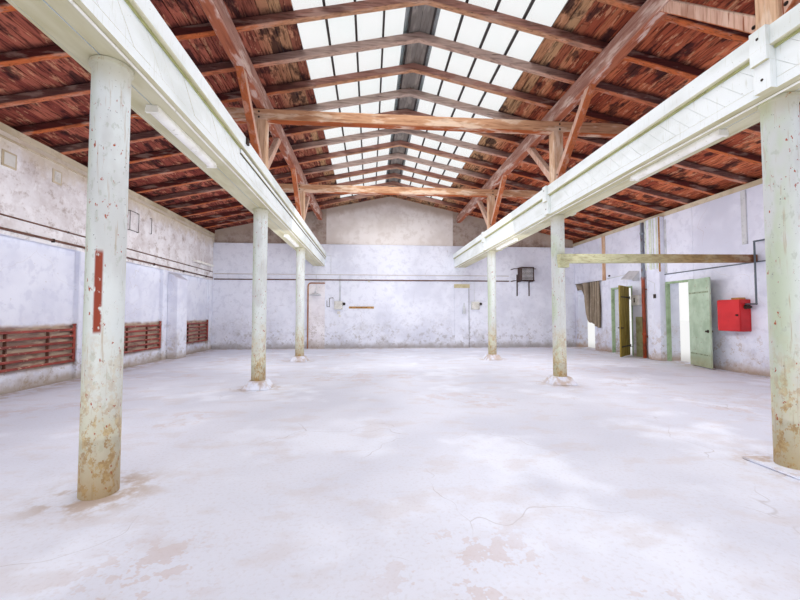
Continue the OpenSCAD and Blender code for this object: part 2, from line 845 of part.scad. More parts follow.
// The hydrant pipe comes along the right wall, drops beside the cabinet and turns into its side
module hydrant_pipe() {
    x = right_face - riser_off;
    y = cabinet_y - riser_gap;
    low = floor_z + riser_low;
    high = floor_z + riser_high;
    r = riser_d / 2;
    wall_pipe_y(x, high, -half_len, y, riser_d);
    translate([x, y, low]) cylinder(d = riser_d, h = high - low, $fn = fine);
    wall_pipe_y(x, low, y, cabinet_y, riser_d);
    for (z = [low, high]) translate([x, y, z]) sphere(r = 1.2 * r, $fn = fine);
    for (k = [0 : 2])
        box(x, right_face, frames_y[k] - r / 2, frames_y[k] + r / 2, high - 1.5 * r, high - r / 2);
}

module downpipe() {
    y = doorway_3[1] + tall_pilaster_w + downpipe_gap;
    top = under(right_width + plate_w) - plate_h;
    run = top - floor_z;
    clip = downpipe_d / 3;
    color("#7a4a3c") {
        translate([right_face - downpipe_d, y, floor_z])
            cylinder(d = downpipe_d, h = run - seat_gap, $fn = fine);
        for (share = [0.15, 0.5, 0.85])
            box(right_face - downpipe_d, right_face, y - clip, y + clip,
                floor_z + share * run, floor_z + share * run + clip);
    }
}

module air_heater() {
    x0 = ridge_x + heater_at;
    z0 = floor_z + heater_height;
    y1 = half_len - heater_off;
    bar = heater_bar;
    leg_h = heater_leg_h;
    color("#4b4340") {
        box(x0, x0 + heater_w, y1 - heater_d, y1, z0, z0 + heater_h);
        for (x = [x0 - bar, x0 + heater_w - 2 * bar]) {
            box(x, x + bar, half_len - bar, half_len, z0 - leg_h, z0 + heater_h / 2);
            box(x, x + bar, y1 - heater_d - bar, half_len, z0 - bar, z0 + seat_gap);
        }
    }
}

// The cross beam lies against the near side of its column and rises a little to the right wall
module cross_beam() {
    seat = column_d / 2 + touch;
    long = right_face - rows_x[1] + wall_t;
    conduit_z = floor_z + right_conduit_height;
    notch = conduit_d / 2 + seat_gap;
    color("#c9cdb5") {
        difference() {
            intersection() {
                translate([rows_x[1], frames_y[2], floor_z + cross_beam_height])
                    rotate([0, 0, cross_beam_skew]) rotate([0, -cross_beam_rise, 0])
                        box(-cross_beam_past, long, -seat - cross_beam_w, -seat, 0, cross_beam_h);
                box(rows_x[1] - column_d, right_face, frames_y[1], half_len, floor_z, soffit_z);
            }
            box(right_face - 2 * notch, right_face + wall_t, frames_y[1], half_len,
                conduit_z - notch, conduit_z + notch);
        }
        translate([rows_x[1], frames_y[2], floor_z + cross_beam_height]) rotate([0, 0, cross_beam_skew])
            box(cleat_inset - cross_beam_past, cleat_w - cross_beam_past,
                cleat_inset - seat - cross_beam_w, -seat - touch, -cleat_h, cross_beam_h / 4);
    }
}

module fire_cabinet() {
    z = floor_z + cabinet_height;
    color("#c8202a")
        box(right_face - cabinet_d, right_face, cabinet_y, cabinet_y + cabinet_w, z, z + cabinet_h);
}

module switch_boxes() {
    z = floor_z + box_height;
    color("#cfcdc6") {
        for (x = [ridge_x - left_box_at, ridge_x + right_box_at])
            box(x, x + box_w, half_len - box_d, half_len, z, z + box_w);
        box(right_face - box_d, right_face, doorway_2[0] - side_box_off - box_w,
            doorway_2[0] - side_box_off, z + side_box_rise, z + side_box_rise + box_w);
    }
}

module girder_lamps() {
    lamp_starts = [frames_y[0] + lamp_off, frames_y[1] + lamp_off, frames_y[2] + far_lamp_off];
    color("#e9e6da") for (x = rows_x, y = lamp_starts)
        box(x - lamp_w / 2, x + lamp_w / 2, y, y + lamp_len, soffit_z - lamp_h, soffit_z);
}

module blocked_door() {
    x0 = ridge_x + blocked_at;
    x1 = x0 + blocked_w;
    top = floor_z + blocked_h;
    color("#d9d8da") {
        box(x0, x1, half_len - blocked_t, half_len, floor_z, top);
        box(x0 - lintel_reach, x1 + lintel_reach, half_len - 2 * blocked_t, half_len, top, top + lintel_h);
    }
}

module curtain_rail() {
    x = right_face - rail_off;
    z = floor_z + rail_height;
    near = doorway_1[0] + curtain_into - curtain_w - rail_d;
    far = doorway_1[1] + rail_d;
    color("#5a4a3e") {
        wall_pipe_y(x, z, near, far, rail_d);
        for (y = [near, far - rail_d]) box(x, right_face, y, y + rail_d, z - rail_d / 4, z + rail_d / 4);
    }
}

module door_1_curtain() {
    y1 = doorway_1[0] + curtain_into;
    y0 = y1 - curtain_w;
    top = floor_z + rail_height - rail_d / 2 - touch;
    low = top - curtain_h;
    x = right_face - rail_off;
    color("#8d7f73") along_x(x - curtain_d / 2, x + curtain_d / 2) polygon([
        [y0, top], [y0 + curtain_w * 0.25, low], [y1 - curtain_w * 0.15, low + curtain_h * 0.08], [y1, top]
    ]);
}

floor_slab();
left_wall();
left_pilasters();
right_wall();
right_wall_piers();
right_wall_over_doors();
right_pilaster();
right_wall_post();
back_wall();
front_wall();
gables();
wall_plates();
columns();
column_plinths();
girder_bottom_chords();
girder_webs();
girder_top_chords();
girder_posts();
tie_beams();
purlins();
purlin_braces();
rafters();
roof_boards();
roof_covering();
skylight_bars();
skylight_sheets();
ridge_boards();
ridge_cap();
roof_edge_boards();
door_frames();
door_pintles();
door_2_leaf();
door_3_leaf();
pipe_registers();
wall_pipes();
downpipe();
air_heater();
cross_beam();
fire_cabinet();
switch_boxes();
girder_lamps();
blocked_door();
curtain_rail();
door_1_curtain();
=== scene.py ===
"""The looks of an old factory hall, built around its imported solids. Lengths are in metres."""
import json
import math
import random

import bmesh
import bpy
from mathutils import Matrix, Vector, noise


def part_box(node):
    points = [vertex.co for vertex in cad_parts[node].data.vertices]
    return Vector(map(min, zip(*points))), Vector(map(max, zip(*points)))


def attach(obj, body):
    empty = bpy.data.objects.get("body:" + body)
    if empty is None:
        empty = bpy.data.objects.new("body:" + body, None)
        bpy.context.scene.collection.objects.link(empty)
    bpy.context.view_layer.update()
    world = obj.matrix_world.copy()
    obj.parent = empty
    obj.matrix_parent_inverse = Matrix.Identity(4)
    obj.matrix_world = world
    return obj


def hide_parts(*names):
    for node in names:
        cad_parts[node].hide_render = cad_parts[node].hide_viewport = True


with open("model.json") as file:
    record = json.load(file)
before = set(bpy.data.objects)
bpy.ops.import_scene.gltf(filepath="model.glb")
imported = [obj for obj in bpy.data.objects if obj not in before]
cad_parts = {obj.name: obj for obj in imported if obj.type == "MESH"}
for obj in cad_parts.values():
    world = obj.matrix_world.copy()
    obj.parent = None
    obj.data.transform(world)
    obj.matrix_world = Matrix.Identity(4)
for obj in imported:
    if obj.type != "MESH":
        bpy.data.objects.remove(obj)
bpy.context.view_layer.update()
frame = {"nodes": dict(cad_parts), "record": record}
NODES = frame["nodes"]
RECORD = frame["record"]
SLOTS = {part["node"]: part["material_slot"] for part in RECORD["subparts"]}
HALL = "building"

# The camera stands in the nave near the second frame and looks slightly up and to the right
CAMERA_AT = (-1.35, -5.455, 1.59)
CAMERA_TILT = 92.26
CAMERA_TURN = -4.60
CAMERA_LENS = 16.88
SENSOR_WIDTH = 36.0

# Light levels
OPEN_SKY = 0.85
SUN = 1.1
SKYLIGHT_POWER = 360
FLOOR_GLOW_POWER = 160
SIDE_GLOW_POWER = 95
BACK_GLOW_POWER = 110
FRONT_GLOW_POWER = 60
FRONT_GLOW_SPREAD = 50
LEFT_AISLE_POWER = 175
RIGHT_AISLE_POWER = 240


def merged(node):
    """A bmesh copy of a CAD node with its corners joined."""
    mesh = bmesh.new()
    mesh.from_mesh(NODES[node].data)
    bmesh.ops.remove_doubles(mesh, verts=mesh.verts, dist=1e-5)
    return mesh


def rounded_centre(points):
    """The middle of some points to the millimetre, which puts solids in a fixed order."""
    return tuple(round(sum(p[k] for p in points) / len(points), 3) for k in range(3))


def solids(node):
    """The separate solids of a CAD node, each as a list of its corner points."""
    mesh = merged(node)
    left = set(mesh.verts)
    found = []
    while left:
        group, front = [], [left.pop()]
        while front:
            vert = front.pop()
            group.append(vert.co.copy())
            for edge in vert.link_edges:
                other = edge.other_vert(vert)
                if other in left:
                    left.remove(other)
                    front.append(other)
        found.append(group)
    mesh.free()
    return sorted(found, key=rounded_centre)


def corner_box(points):
    """The lowest and the highest corner of some points."""
    return [Vector([pick(p[k] for p in points) for k in range(3)]) for pick in (min, max)]


# Planes and lines of the hall, read from the frame
FLOOR_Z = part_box("floor_slab")[1].z
LEFT_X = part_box("left_wall")[1].x
RIGHT_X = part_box("right_wall")[0].x
BACK_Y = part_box("back_wall")[0].y
FRONT_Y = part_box("front_wall")[1].y
OUT_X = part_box("right_wall")[1].x - 0.1
OUT_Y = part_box("back_wall")[1].y - 0.1
RIDGE_X = (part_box("tie_beams")[0].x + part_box("tie_beams")[1].x) / 2
TIE_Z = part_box("tie_beams")[0].z
SOFFIT_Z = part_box("girder_bottom_chords")[0].z
WEB_TOP_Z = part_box("girder_top_chords")[0].z
GIRDER_TOP_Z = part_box("girder_top_chords")[1].z
COLUMN_POINTS = [sum(s, Vector()) / len(s) for s in solids("columns")]
ROW_X = [min(p.x for p in COLUMN_POINTS), max(p.x for p in COLUMN_POINTS)]
FRAMES_Y = sorted({round(p.y, 3) for p in COLUMN_POINTS})
GIRDER_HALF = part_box("girder_bottom_chords")[1].x - ROW_X[1]
CHORD_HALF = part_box("girder_top_chords")[1].x - ROW_X[1]
RAFTER_ENDS = sorted(solids("rafters")[0], key=lambda p: abs(p.x - RIDGE_X))
RIDGE_UNDER = min(p.z for p in RAFTER_ENDS[:4])
RAFTER_H = max(p.z for p in RAFTER_ENDS[:4]) - RIDGE_UNDER
SLOPE = (RIDGE_UNDER - min(p.z for p in RAFTER_ENDS[4:])) / abs(RAFTER_ENDS[-1].x - RAFTER_ENDS[0].x)
RAFTERS_Y = sorted({round(sum(p.y for p in s) / len(s), 3) for s in solids("rafters")})
RAFTER_PITCH = RAFTERS_Y[1] - RAFTERS_Y[0]


def tint(code):
    """A colour as it looks on a screen, as the shader's linear colour."""
    parts = [int(code[k:k + 2], 16) / 255 for k in (1, 3, 5)]
    return [c / 12.92 if c <= 0.04045 else ((c + 0.055) / 1.055) ** 2.4 for c in parts] + [1.0]


class Finish:
    """A procedural finish. Each method adds nodes and returns a socket for the next one."""

    def __init__(self, name, roughness=0.85, metallic=0.0, specular=0.3):
        self.material = bpy.data.materials.new(name)
        self.material.use_nodes = True
        self.tree = self.material.node_tree
        self.shader = self.tree.nodes["Principled BSDF"]
        self.shader.inputs["Roughness"].default_value = roughness
        self.shader.inputs["Metallic"].default_value = metallic
        self.shader.inputs["Specular IOR Level"].default_value = specular
        self.place = self.node("TexCoord").outputs["Object"]
        self.made = {}

    def node(self, kind, sockets=None, **settings):
        made = self.tree.nodes.new("ShaderNode" + kind)
        for key, value in settings.items():
            setattr(made, key, value)
        for key, value in (sockets or {}).items():
            self.join(value, made.inputs[key])
        return made

    def join(self, value, socket):
        if isinstance(value, bpy.types.NodeSocket):
            self.tree.links.new(value, socket)
        else:
            socket.default_value = value

    def math(self, operation, a, b=0.0):
        return self.node("Math", {0: a, 1: b}, operation=operation).outputs[0]

    def times(self, a, b):
        return self.math("MULTIPLY", a, b)

    def either(self, a, b):
        return self.math("MAXIMUM", a, b)

    def spread(self, value, low, high):
        """0 below low and 1 above high, or the other way round if low is the higher one."""
        sockets = {"Value": value, "From Min": low, "From Max": high}
        return self.node("MapRange", sockets, interpolation_type="SMOOTHSTEP").outputs[0]

    def field(self, stretch=(1, 1, 1), shift=0.0):
        sockets = {"Vector": self.place, "Location": [shift] * 3, "Scale": [1 / s for s in stretch]}
        return self.node("Mapping", sockets).outputs[0]

    def noise(self, size, stretch=(1, 1, 1), detail=3.0, shift=0.0, rough=0.6):
        """Noise with features of about that size. A second call for the same one costs nothing."""
        key = (size, tuple(stretch), detail, shift, rough)
        if key not in self.made:
            sockets = {"Vector": self.field(stretch, shift), "Scale": 1 / size}
            sockets.update({"Detail": detail, "Roughness": rough})
            self.made[key] = self.node("TexNoise", sockets).outputs[0]
        return self.made[key]

    def blotches(self, size, low, high, stretch=(1, 1, 1), detail=3.0, shift=0.0, rough=0.6):
        """Spots of about that size: 0 outside them and 1 inside."""
        return self.spread(self.noise(size, stretch, detail, shift, rough), low, high)

    def cracks(self, size, width, warp=0.4, shift=0.0):
        """Lines between cells of about that size: 1 on the line and 0 elsewhere."""
        field = self.field(shift=shift)
        bent = self.node("TexNoise", {"Vector": field, "Scale": 2.5 / size, "Detail": 2.0}).outputs[1]
        bent = self.node("VectorMath", {0: bent, 1: [warp * size] * 3}, operation="MULTIPLY").outputs[0]
        field = self.node("VectorMath", {0: field, 1: bent}, operation="ADD").outputs[0]
        cells = self.node("TexVoronoi", {"Vector": field, "Scale": 1 / size}, feature="DISTANCE_TO_EDGE")
        return self.spread(cells.outputs[0], width / size, 0.0)

    def along(self, axis):
        return self.node("SeparateXYZ", {0: self.place}).outputs["XYZ".index(axis)]

    def away(self, axis, middle):
        return self.math("ABSOLUTE", self.math("SUBTRACT", self.along(axis), middle))

    def band(self, axis, low, high, ragged=0.0, size=0.3):
        """0 below low and 1 above high along an axis, with a ragged edge."""
        value = self.along(axis)
        if ragged:
            uneven = self.math("SUBTRACT", self.noise(size), 0.5)
            value = self.math("ADD", value, self.times(uneven, ragged))
        return self.spread(value, low, high)

    def near(self, x, y, reach, rim):
        """1 within reach of a point of the plan and 0 beyond the rim."""
        flat = self.node("VectorMath", {0: self.place, 1: (1, 1, 0)}, operation="MULTIPLY").outputs[0]
        far = self.node("VectorMath", {0: flat, 1: (x, y, 0)}, operation="DISTANCE").outputs["Value"]
        return self.spread(far, rim, reach)

    def each(self, axis, pitch, start):
        """A random value for each stretch of that length along an axis."""
        cell = self.math("DIVIDE", self.math("SUBTRACT", self.along(axis), start), pitch)
        return self.node("TexWhiteNoise", {"W": self.math("ROUND", cell)}, noise_dimensions="1D").outputs[0]

    def facing(self, axis, low, high, kind="True Normal"):
        """1 where the surface faces along an axis."""
        normal = self.node("NewGeometry").outputs[kind]
        return self.spread(self.node("SeparateXYZ", {0: normal}).outputs["XYZ".index(axis)], low, high)

    def tone(self):
        """The random value that a piece's mesh gives each of its boards."""
        return self.node("Attribute", attribute_name="tone").outputs["Fac"]

    def mix(self, a, b, amount, share=1.0):
        """Colour a, with b over it where the amount is 1, or that share of b."""
        if share != 1.0:
            amount = self.times(amount, share)
        a = tint(a) if isinstance(a, str) else a
        b = tint(b) if isinstance(b, str) else b
        return self.node("Mix", {0: amount, 6: a, 7: b}, data_type="RGBA").outputs[2]

    def paint(self, color, height=None, depth=0.002, strength=0.5):
        """Sets the colour and the bump, and returns the material."""
        self.join(tint(color) if isinstance(color, str) else color, self.shader.inputs["Base Color"])
        if height is not None:
            bump = self.node("Bump", {"Height": height, "Distance": depth, "Strength": strength})
            self.join(bump.outputs[0], self.shader.inputs["Normal"])
        return self.material


def plaster_layers(f, fresh, shade, stain, foot=0.5, shift=0.0):
    """Clouds, hair cracks, pits, and peeling and damp near the floor."""
    color = f.mix(fresh, shade, f.blotches(1.5, 0.42, 0.7, shift=shift))
    color = f.mix(color, shade, f.blotches(0.22, 0.5, 0.64, shift=shift), 0.6)
    low = f.band("Z", FLOOR_Z + 3 * foot, FLOOR_Z + 0.2, ragged=1.2)
    peel = f.blotches(0.2, 0.56, 0.58, shift=shift + 5, detail=4.0, rough=0.8)
    color = f.mix(color, stain, f.times(peel, low), 0.5)
    clouds = f.times(f.blotches(0.8, 0.45, 0.8, detail=4.0, shift=shift + 2, rough=0.75), low)
    color = f.mix(color, stain, clouds, 0.6)
    color = f.mix(color, stain, f.blotches(0.05, 0.69, 0.72, shift=shift), 0.6)
    color = f.mix(color, stain, f.cracks(1.9, 0.006, shift=shift), 0.25)
    damp = f.band("Z", FLOOR_Z + foot * 0.6, FLOOR_Z, ragged=0.45)
    return f.mix(color, stain, damp, 0.75)


def plaster_bumps(f, color):
    """Paints plaster, with its small bumps."""
    return f.paint(color, f.noise(0.07, detail=4.0), depth=0.006, strength=0.5)


def plaster_finish(name, fresh, shade, stain, foot=0.5, shift=0.0):
    """Plaster of one kind from floor to top."""
    f = Finish(name, roughness=0.92, specular=0.15)
    color = plaster_layers(f, fresh, shade, stain, foot, shift)
    return plaster_bumps(f, color)


def render_finish():
    """Grey render on the outer faces: a darker plinth, streaks below the eaves, splashes low down."""
    f = Finish("outer_render", roughness=0.92, specular=0.15)
    color = f.mix("#d2cabd", "#bcb3a6", f.blotches(1.8, 0.4, 0.68))
    streaks = f.times(f.blotches(0.25, 0.5, 0.7, stretch=(1, 1, 9)), f.band("Z", 2.5, 4.9))
    color = f.mix(color, "#968d82", streaks, 0.6)
    color = f.mix(color, "#aba193", f.blotches(0.6, 0.5, 0.66, detail=4.0, rough=0.75), 0.5)
    color = f.mix(color, "#8d8780", f.band("Z", 0.62, 0.60))
    color = f.mix(color, "#7a7268", f.band("Z", 1.1, 0.3, ragged=0.8), 0.5)
    color = f.mix(color, "#7a7268", f.cracks(1.9, 0.008), 0.6)
    return f.paint(color, f.noise(0.05, detail=4.0), depth=0.006, strength=0.6)


def left_wall_finish():
    """White panels below, mottled plaster above the recesses, dusty plaster behind the registers."""
    f = Finish("left_plaster", roughness=0.92, specular=0.15)
    color = plaster_layers(f, "#e6e9f5", "#d1d4e5", "#a4937f")
    old = f.mix("#ebe9ec", "#cdc5c5", f.blotches(0.9, 0.38, 0.72, detail=4.0, shift=7, rough=0.75))
    old = f.mix(old, "#a08e85", f.blotches(0.25, 0.5, 0.68, detail=4.0, shift=2, rough=0.8), 0.65)
    old = f.mix(old, "#f4f3f6", f.blotches(0.5, 0.5, 0.62, detail=4.0, shift=17, rough=0.75), 0.8)
    old = f.mix(old, "#cbbb9f", f.band("Z", 4.3, 4.85, ragged=0.8), 0.65)
    color = f.mix(color, old, f.band("Z", 3.03, 3.05, ragged=0.03))
    deep = f.spread(f.along("X"), LEFT_X - 0.03, LEFT_X - 0.06)
    behind = f.times(f.band("Z", 0.42, 0.55, ragged=0.1), f.band("Z", 1.42, 1.32, ragged=0.1))
    dusty = f.mix("#b9a187", "#8a6a58", f.blotches(0.12, 0.42, 0.6, stretch=(1, 4, 1)))
    color = f.mix(color, dusty, f.times(behind, deep), 0.9)
    return plaster_bumps(f, color)


def gable_finish():
    """Pale plaster in the middle of the gable, and browner plaster beside it and below the rafters."""
    f = Finish("gable_plaster", roughness=0.92, specular=0.15)
    color = plaster_layers(f, "#e9e4e2", "#d5cdc8", "#a39080", shift=5)
    beside = f.spread(f.away("X", RIDGE_X), 2.78, 2.82)
    worn = f.mix("#b3a59c", "#8a766b", f.blotches(0.4, 0.4, 0.7, detail=4.0, rough=0.75))
    color = f.mix(color, worn, beside)
    # Browner towards the roof line, just below the rafters
    height = f.math("ADD", f.along("Z"), f.times(f.away("X", RIDGE_X), SLOPE))
    height = f.math("ADD", height, f.times(f.noise(0.3), 0.3))
    darkening = f.spread(height, RIDGE_UNDER - 0.2, RIDGE_UNDER + 0.15)
    color = f.mix(color, "#b3a294", darkening, 0.8)
    return plaster_bumps(f, color)


def floor_finish():
    """Old screed: pale and cloudy, with painted pale bluish reflections, dust, some cracks, and peeled
    spots near the camera.
    """
    f = Finish("old_screed", roughness=0.75, specular=0.25)
    color = f.mix("#e1e5f3", "#d5d9e8", f.blotches(2.4, 0.4, 0.66))
    # Painted reflection: paler bluish patches stand in for the skylight's reflection on the screed
    color = f.mix(color, "#ebf0fe", f.blotches(1.2, 0.5, 0.68, shift=4))
    dust = f.blotches(0.35, 0.5, 0.66, stretch=(1.6, 1, 1), shift=9, detail=4.0)
    color = f.mix(color, "#cfc5c4", dust, 0.3)
    color = f.mix(color, "#bdb3b2", f.blotches(0.03, 0.5, 0.68), 0.18)
    patches = f.times(f.blotches(3.0, 0.56, 0.62, shift=6, detail=2.0), 0.7)
    patches = f.either(f.either(f.near(-0.75, -3.35, 0.15, 0.8), f.near(-2.6, -3.2, 0.1, 0.6)), patches)
    peeled = f.times(f.blotches(0.28, 0.52, 0.55, shift=2, detail=4.0, rough=0.75), patches)
    color = f.mix(color, "#c9b3ac", peeled, 0.4)
    lines = f.times(f.cracks(1.7, 0.008, warp=0.6), f.blotches(1.2, 0.5, 0.58, shift=4))
    color = f.mix(color, "#8f827d", lines, 0.35)
    spots = f.blotches(0.2, 0.42, 0.6, detail=4.0)
    by_sides = f.spread(f.away("X", 0), RIGHT_X - 0.75, RIGHT_X - 0.02)
    by_back = f.spread(f.along("Y"), BACK_Y - 0.675, BACK_Y - 0.025)
    dirty = f.times(f.either(by_sides, by_back), 0.85)
    for x in ROW_X:
        for y in FRAMES_Y:
            dirty = f.either(dirty, f.near(x, y, 0.14, 0.62))
    color = f.mix(color, "#b0967c", f.times(dirty, spots), 0.75)
    return f.paint(color, f.noise(0.05, detail=4.0), depth=0.004, strength=0.4)


# A strip of one column that has lost its paint: x, y, and the heights of its ends
BARE_STRIP = (-3.497, -2.31, 1.42, 2.12)


def column_finish():
    """Cast iron under pale green paint, chipped, with rust runs, a stained foot, one bare strip, painted
    shade on the side facing -X and a painted shadow below the girder.
    """
    f = Finish("column_paint", roughness=0.5, specular=0.4)
    # Painted shade: the side facing -X is greener and darker than the lit side
    color = f.mix("#eff5f0", "#c9d6b6", f.facing("X", 0.1, -0.9, "Normal"))
    color = f.mix(color, "#dfe2dd", f.blotches(0.3, 0.42, 0.62, stretch=(1, 1, 2.5)))
    color = f.mix(color, "#bdc5b2", f.blotches(0.05, 0.58, 0.66, stretch=(1, 1, 2), detail=4.0), 0.45)
    low = f.band("Z", FLOOR_Z + 1.5, FLOOR_Z + 0.1, ragged=1.2)
    color = f.mix(color, "#d9d0a2", low, 0.6)
    worn = f.mix("#d8bf86", "#b68b4e", f.blotches(0.05, 0.4, 0.62))
    spots = f.blotches(0.08, 0.49, 0.55, stretch=(1, 1, 1.6), shift=4, detail=4.0, rough=0.8)
    color = f.mix(color, worn, f.times(low, spots), 0.85)
    color = f.mix(color, "#b4562a", f.blotches(0.035, 0.65, 0.68, stretch=(1, 1, 2), shift=2, detail=4.0))
    color = f.mix(color, "#463a35", f.blotches(0.02, 0.70, 0.72, shift=7))
    color = f.mix(color, "#b99c6e", f.blotches(0.03, 0.6, 0.7, stretch=(1, 1, 16), shift=3), 0.45)
    color = f.mix(color, "#c9a163", f.band("Z", FLOOR_Z + 0.5, FLOOR_Z + 0.02, ragged=0.3), 0.5)
    # Painted shadow of the girder: an olive band at the head of each column
    color = f.mix(color, "#b4a873", f.band("Z", SOFFIT_Z - 0.3, SOFFIT_Z - 0.02, ragged=0.15), 0.55)
    x, y, low, high = BARE_STRIP
    strip = f.times(f.band("Z", low, low + 0.04, 0.1), f.band("Z", high, high - 0.04, 0.1))
    strip = f.times(f.near(x, y, 0.02, 0.036), strip)
    strip = f.times(strip, f.blotches(0.05, 0.34, 0.42, stretch=(1, 1, 2)))
    color = f.mix(color, "#a34a33", strip)
    return f.paint(color, f.noise(0.05), depth=0.002, strength=0.6)


def grain_layers(f, color, dark, pale, along, worn=0.5, split=1.0):
    """Grain, worn patches and fine splits along one axis. Returns the colour and the bump height."""
    axis = "XYZ".index(along)

    def stretched(amount):
        return [amount if k == axis else 1 for k in range(3)]

    grain = f.noise(0.03, stretched(14))
    color = f.mix(color, dark, f.spread(grain, 0.42, 0.75), 0.6)
    patches = f.blotches(0.16, 0.5, 0.62, stretched(4), shift=5, detail=4.0)
    color = f.mix(color, pale, f.times(patches, worn))
    color = f.mix(color, dark, f.blotches(0.3, 0.55, 0.68, stretched(4), shift=9), 0.45)
    splits = f.blotches(0.018, 0.66, 0.7, stretched(26), shift=2, detail=2.0)
    return f.mix(color, dark, f.times(splits, split)), grain


def wood_finish(name, face, dark, pale, along, under=None, worn=0.5, turn=(-0.6, -0.85)):
    """Weathered timber. What faces down past the turn may take another colour, a painted shade on the
    undersides.
    """
    f = Finish(name, roughness=0.82, specular=0.2)
    # Painted shade: faces turned downward take the under colour
    if under:
        face = f.mix(face, under, f.facing("Z", *turn))
    color, height = grain_layers(f, face, dark, pale, along, worn)
    return f.paint(color, height, depth=0.005, strength=0.6)


def rafter_finish():
    """Rafters with painted light on their orange-brown undersides and painted shade on their dark sides,
    painted paler beside the skylight, some of them bleached.
    """
    f = Finish("rafter_timber", roughness=0.82, specular=0.2)
    # Painted light: rafters paler beside the skylight
    lit = f.spread(f.away("X", RIDGE_X), 3.3, 1.8)
    side = f.mix("#5c2c28", "#a07568", lit)
    under = f.mix("#c4683a", "#c0906e", lit)
    # Painted light on the undersides and painted shade on the sides
    face = f.mix(side, under, f.facing("Z", -0.5, -0.85))
    each = f.spread(f.each("Y", RAFTER_PITCH, RAFTERS_Y[0]), 0.62, 0.9)
    face = f.mix(face, "#c2b2a8", f.times(each, f.math("ADD", f.times(lit, 0.7), 0.15)))
    color, height = grain_layers(f, face, "#33191a", "#cbb0a2", "X", 0.35)
    return f.paint(color, height, depth=0.005, strength=0.6)


def roof_board_finish():
    """Roof boards: red-brown with their own shades, stains and peeling, bleached beside the skylight, with
    painted light on the right slope, and painted shade and dirt beside each rafter.
    """
    f = Finish("roof_boards", roughness=0.85, specular=0.2)
    tone = f.tone()
    # Painted light: the right slope is warmer and brighter than the left
    right = f.spread(f.along("X"), RIDGE_X - 0.5, RIDGE_X + 0.5)
    dark, pale = f.mix("#803c34", "#93442f", right), f.mix("#b46652", "#c9704c", right)
    color = f.mix(dark, pale, f.spread(tone, 0.1, 0.9))
    bleached = f.times(f.spread(f.away("X", RIDGE_X), 3.1, 2.3), f.spread(tone, -0.2, 0.8))
    color = f.mix(color, "#b08a66", bleached)
    streaks = f.noise(0.03, (1, 12, 1))
    color = f.mix(color, "#33130f", f.spread(streaks, 0.46, 0.66), 0.8)
    peel = f.blotches(0.16, 0.57, 0.62, (0.6, 2.4, 1), shift=6, detail=4.0, rough=0.7)
    color = f.mix(color, "#d39c78", peel, 0.6)
    darkening = f.blotches(0.35, 0.52, 0.62, (0.8, 1.6, 1), shift=3, detail=4.0)
    color = f.mix(color, "#1f1016", darkening, 0.8)
    # Painted shade and dirt: darker boards along the near side of each rafter
    bay = f.math("FRACT", f.math("DIVIDE", f.math("SUBTRACT", f.along("Y"), RAFTERS_Y[0]), RAFTER_PITCH))
    beside = f.spread(f.math("ADD", bay, f.times(f.noise(0.2), 0.3)), 0.95, 1.12)
    color = f.mix(color, "#231119", beside, 0.75)
    return f.paint(color, streaks, depth=0.004, strength=0.6)


def felt_finish():
    """Mineral felt on the roof: each strip has its own shade, with stains and grit."""
    f = Finish("roof_felt", roughness=0.95, specular=0.15)
    color = f.mix("#585b5e", "#74777a", f.tone())
    color = f.mix(color, "#4c4f53", f.blotches(0.9, 0.4, 0.75, stretch=(2.5, 1, 1), detail=4.0), 0.6)
    color = f.mix(color, "#85867b", f.blotches(0.5, 0.52, 0.72, detail=4.0, shift=3, rough=0.75), 0.5)
    grit = f.noise(0.012, detail=2.0)
    color = f.mix(color, "#8b8d8e", f.spread(grit, 0.6, 0.7), 0.4)
    return f.paint(color, grit, depth=0.002, strength=0.6)


def girder_finish():
    """White paint on boards: drips and stains, and an olive painted shade on what faces down."""
    f = Finish("girder_paint", roughness=0.6, specular=0.3)
    color = f.mix("#e8eeef", "#d7dddb", f.blotches(0.4, 0.42, 0.7, stretch=(1, 3, 1)))
    drips = f.noise(0.025, (1, 1, 10), shift=4)
    color = f.mix(color, "#c9ccc0", f.spread(drips, 0.58, 0.74), 0.5)
    color = f.mix(color, "#8e8f76", f.blotches(0.018, 0.71, 0.74, shift=8))
    # Painted shade: faces turned downward take this olive colour
    olive = f.mix("#d2cdb0", "#bfb893", f.blotches(0.3, 0.4, 0.65, stretch=(1, 4, 1)))
    color = f.mix(color, olive, f.facing("Z", -0.4, -0.8))
    return f.paint(color, drips, depth=0.002, strength=0.4)


def cross_beam_finish():
    """Pale green paint that gives way to bare brown wood towards the right wall."""
    f = Finish("cross_beam_paint", roughness=0.7, specular=0.25)
    painted = f.mix("#c2c29f", "#aeb18a", f.blotches(0.3, 0.4, 0.65, stretch=(4, 1, 1)))
    bare = f.mix(painted, "#a58a5b", f.band("X", 3.6, 6.4, 0.3))
    bare = f.mix(bare, "#7d4e35", f.band("X", 6.4, 7.8, 0.3))
    color, height = grain_layers(f, bare, "#6b5638", "#d0cbaa", "X", 0.3, 0.6)
    return f.paint(color, height, depth=0.003, strength=0.5)


def paint_finish(name, base, shade, wear, roughness=0.5, metallic=0.0, size=0.12, amount=0.6):
    """Plain paint on metal or wood with a little dirt, and wear down to another colour."""
    f = Finish(name, roughness=roughness, metallic=metallic, specular=0.4)
    color = f.mix(base, shade, f.blotches(size * 2, 0.4, 0.7))
    spots = f.noise(size * 0.4, detail=4.0)
    color = f.mix(color, wear, f.times(f.spread(spots, 0.64, 0.68), amount))
    return f.paint(color, spots, depth=0.001, strength=0.4)


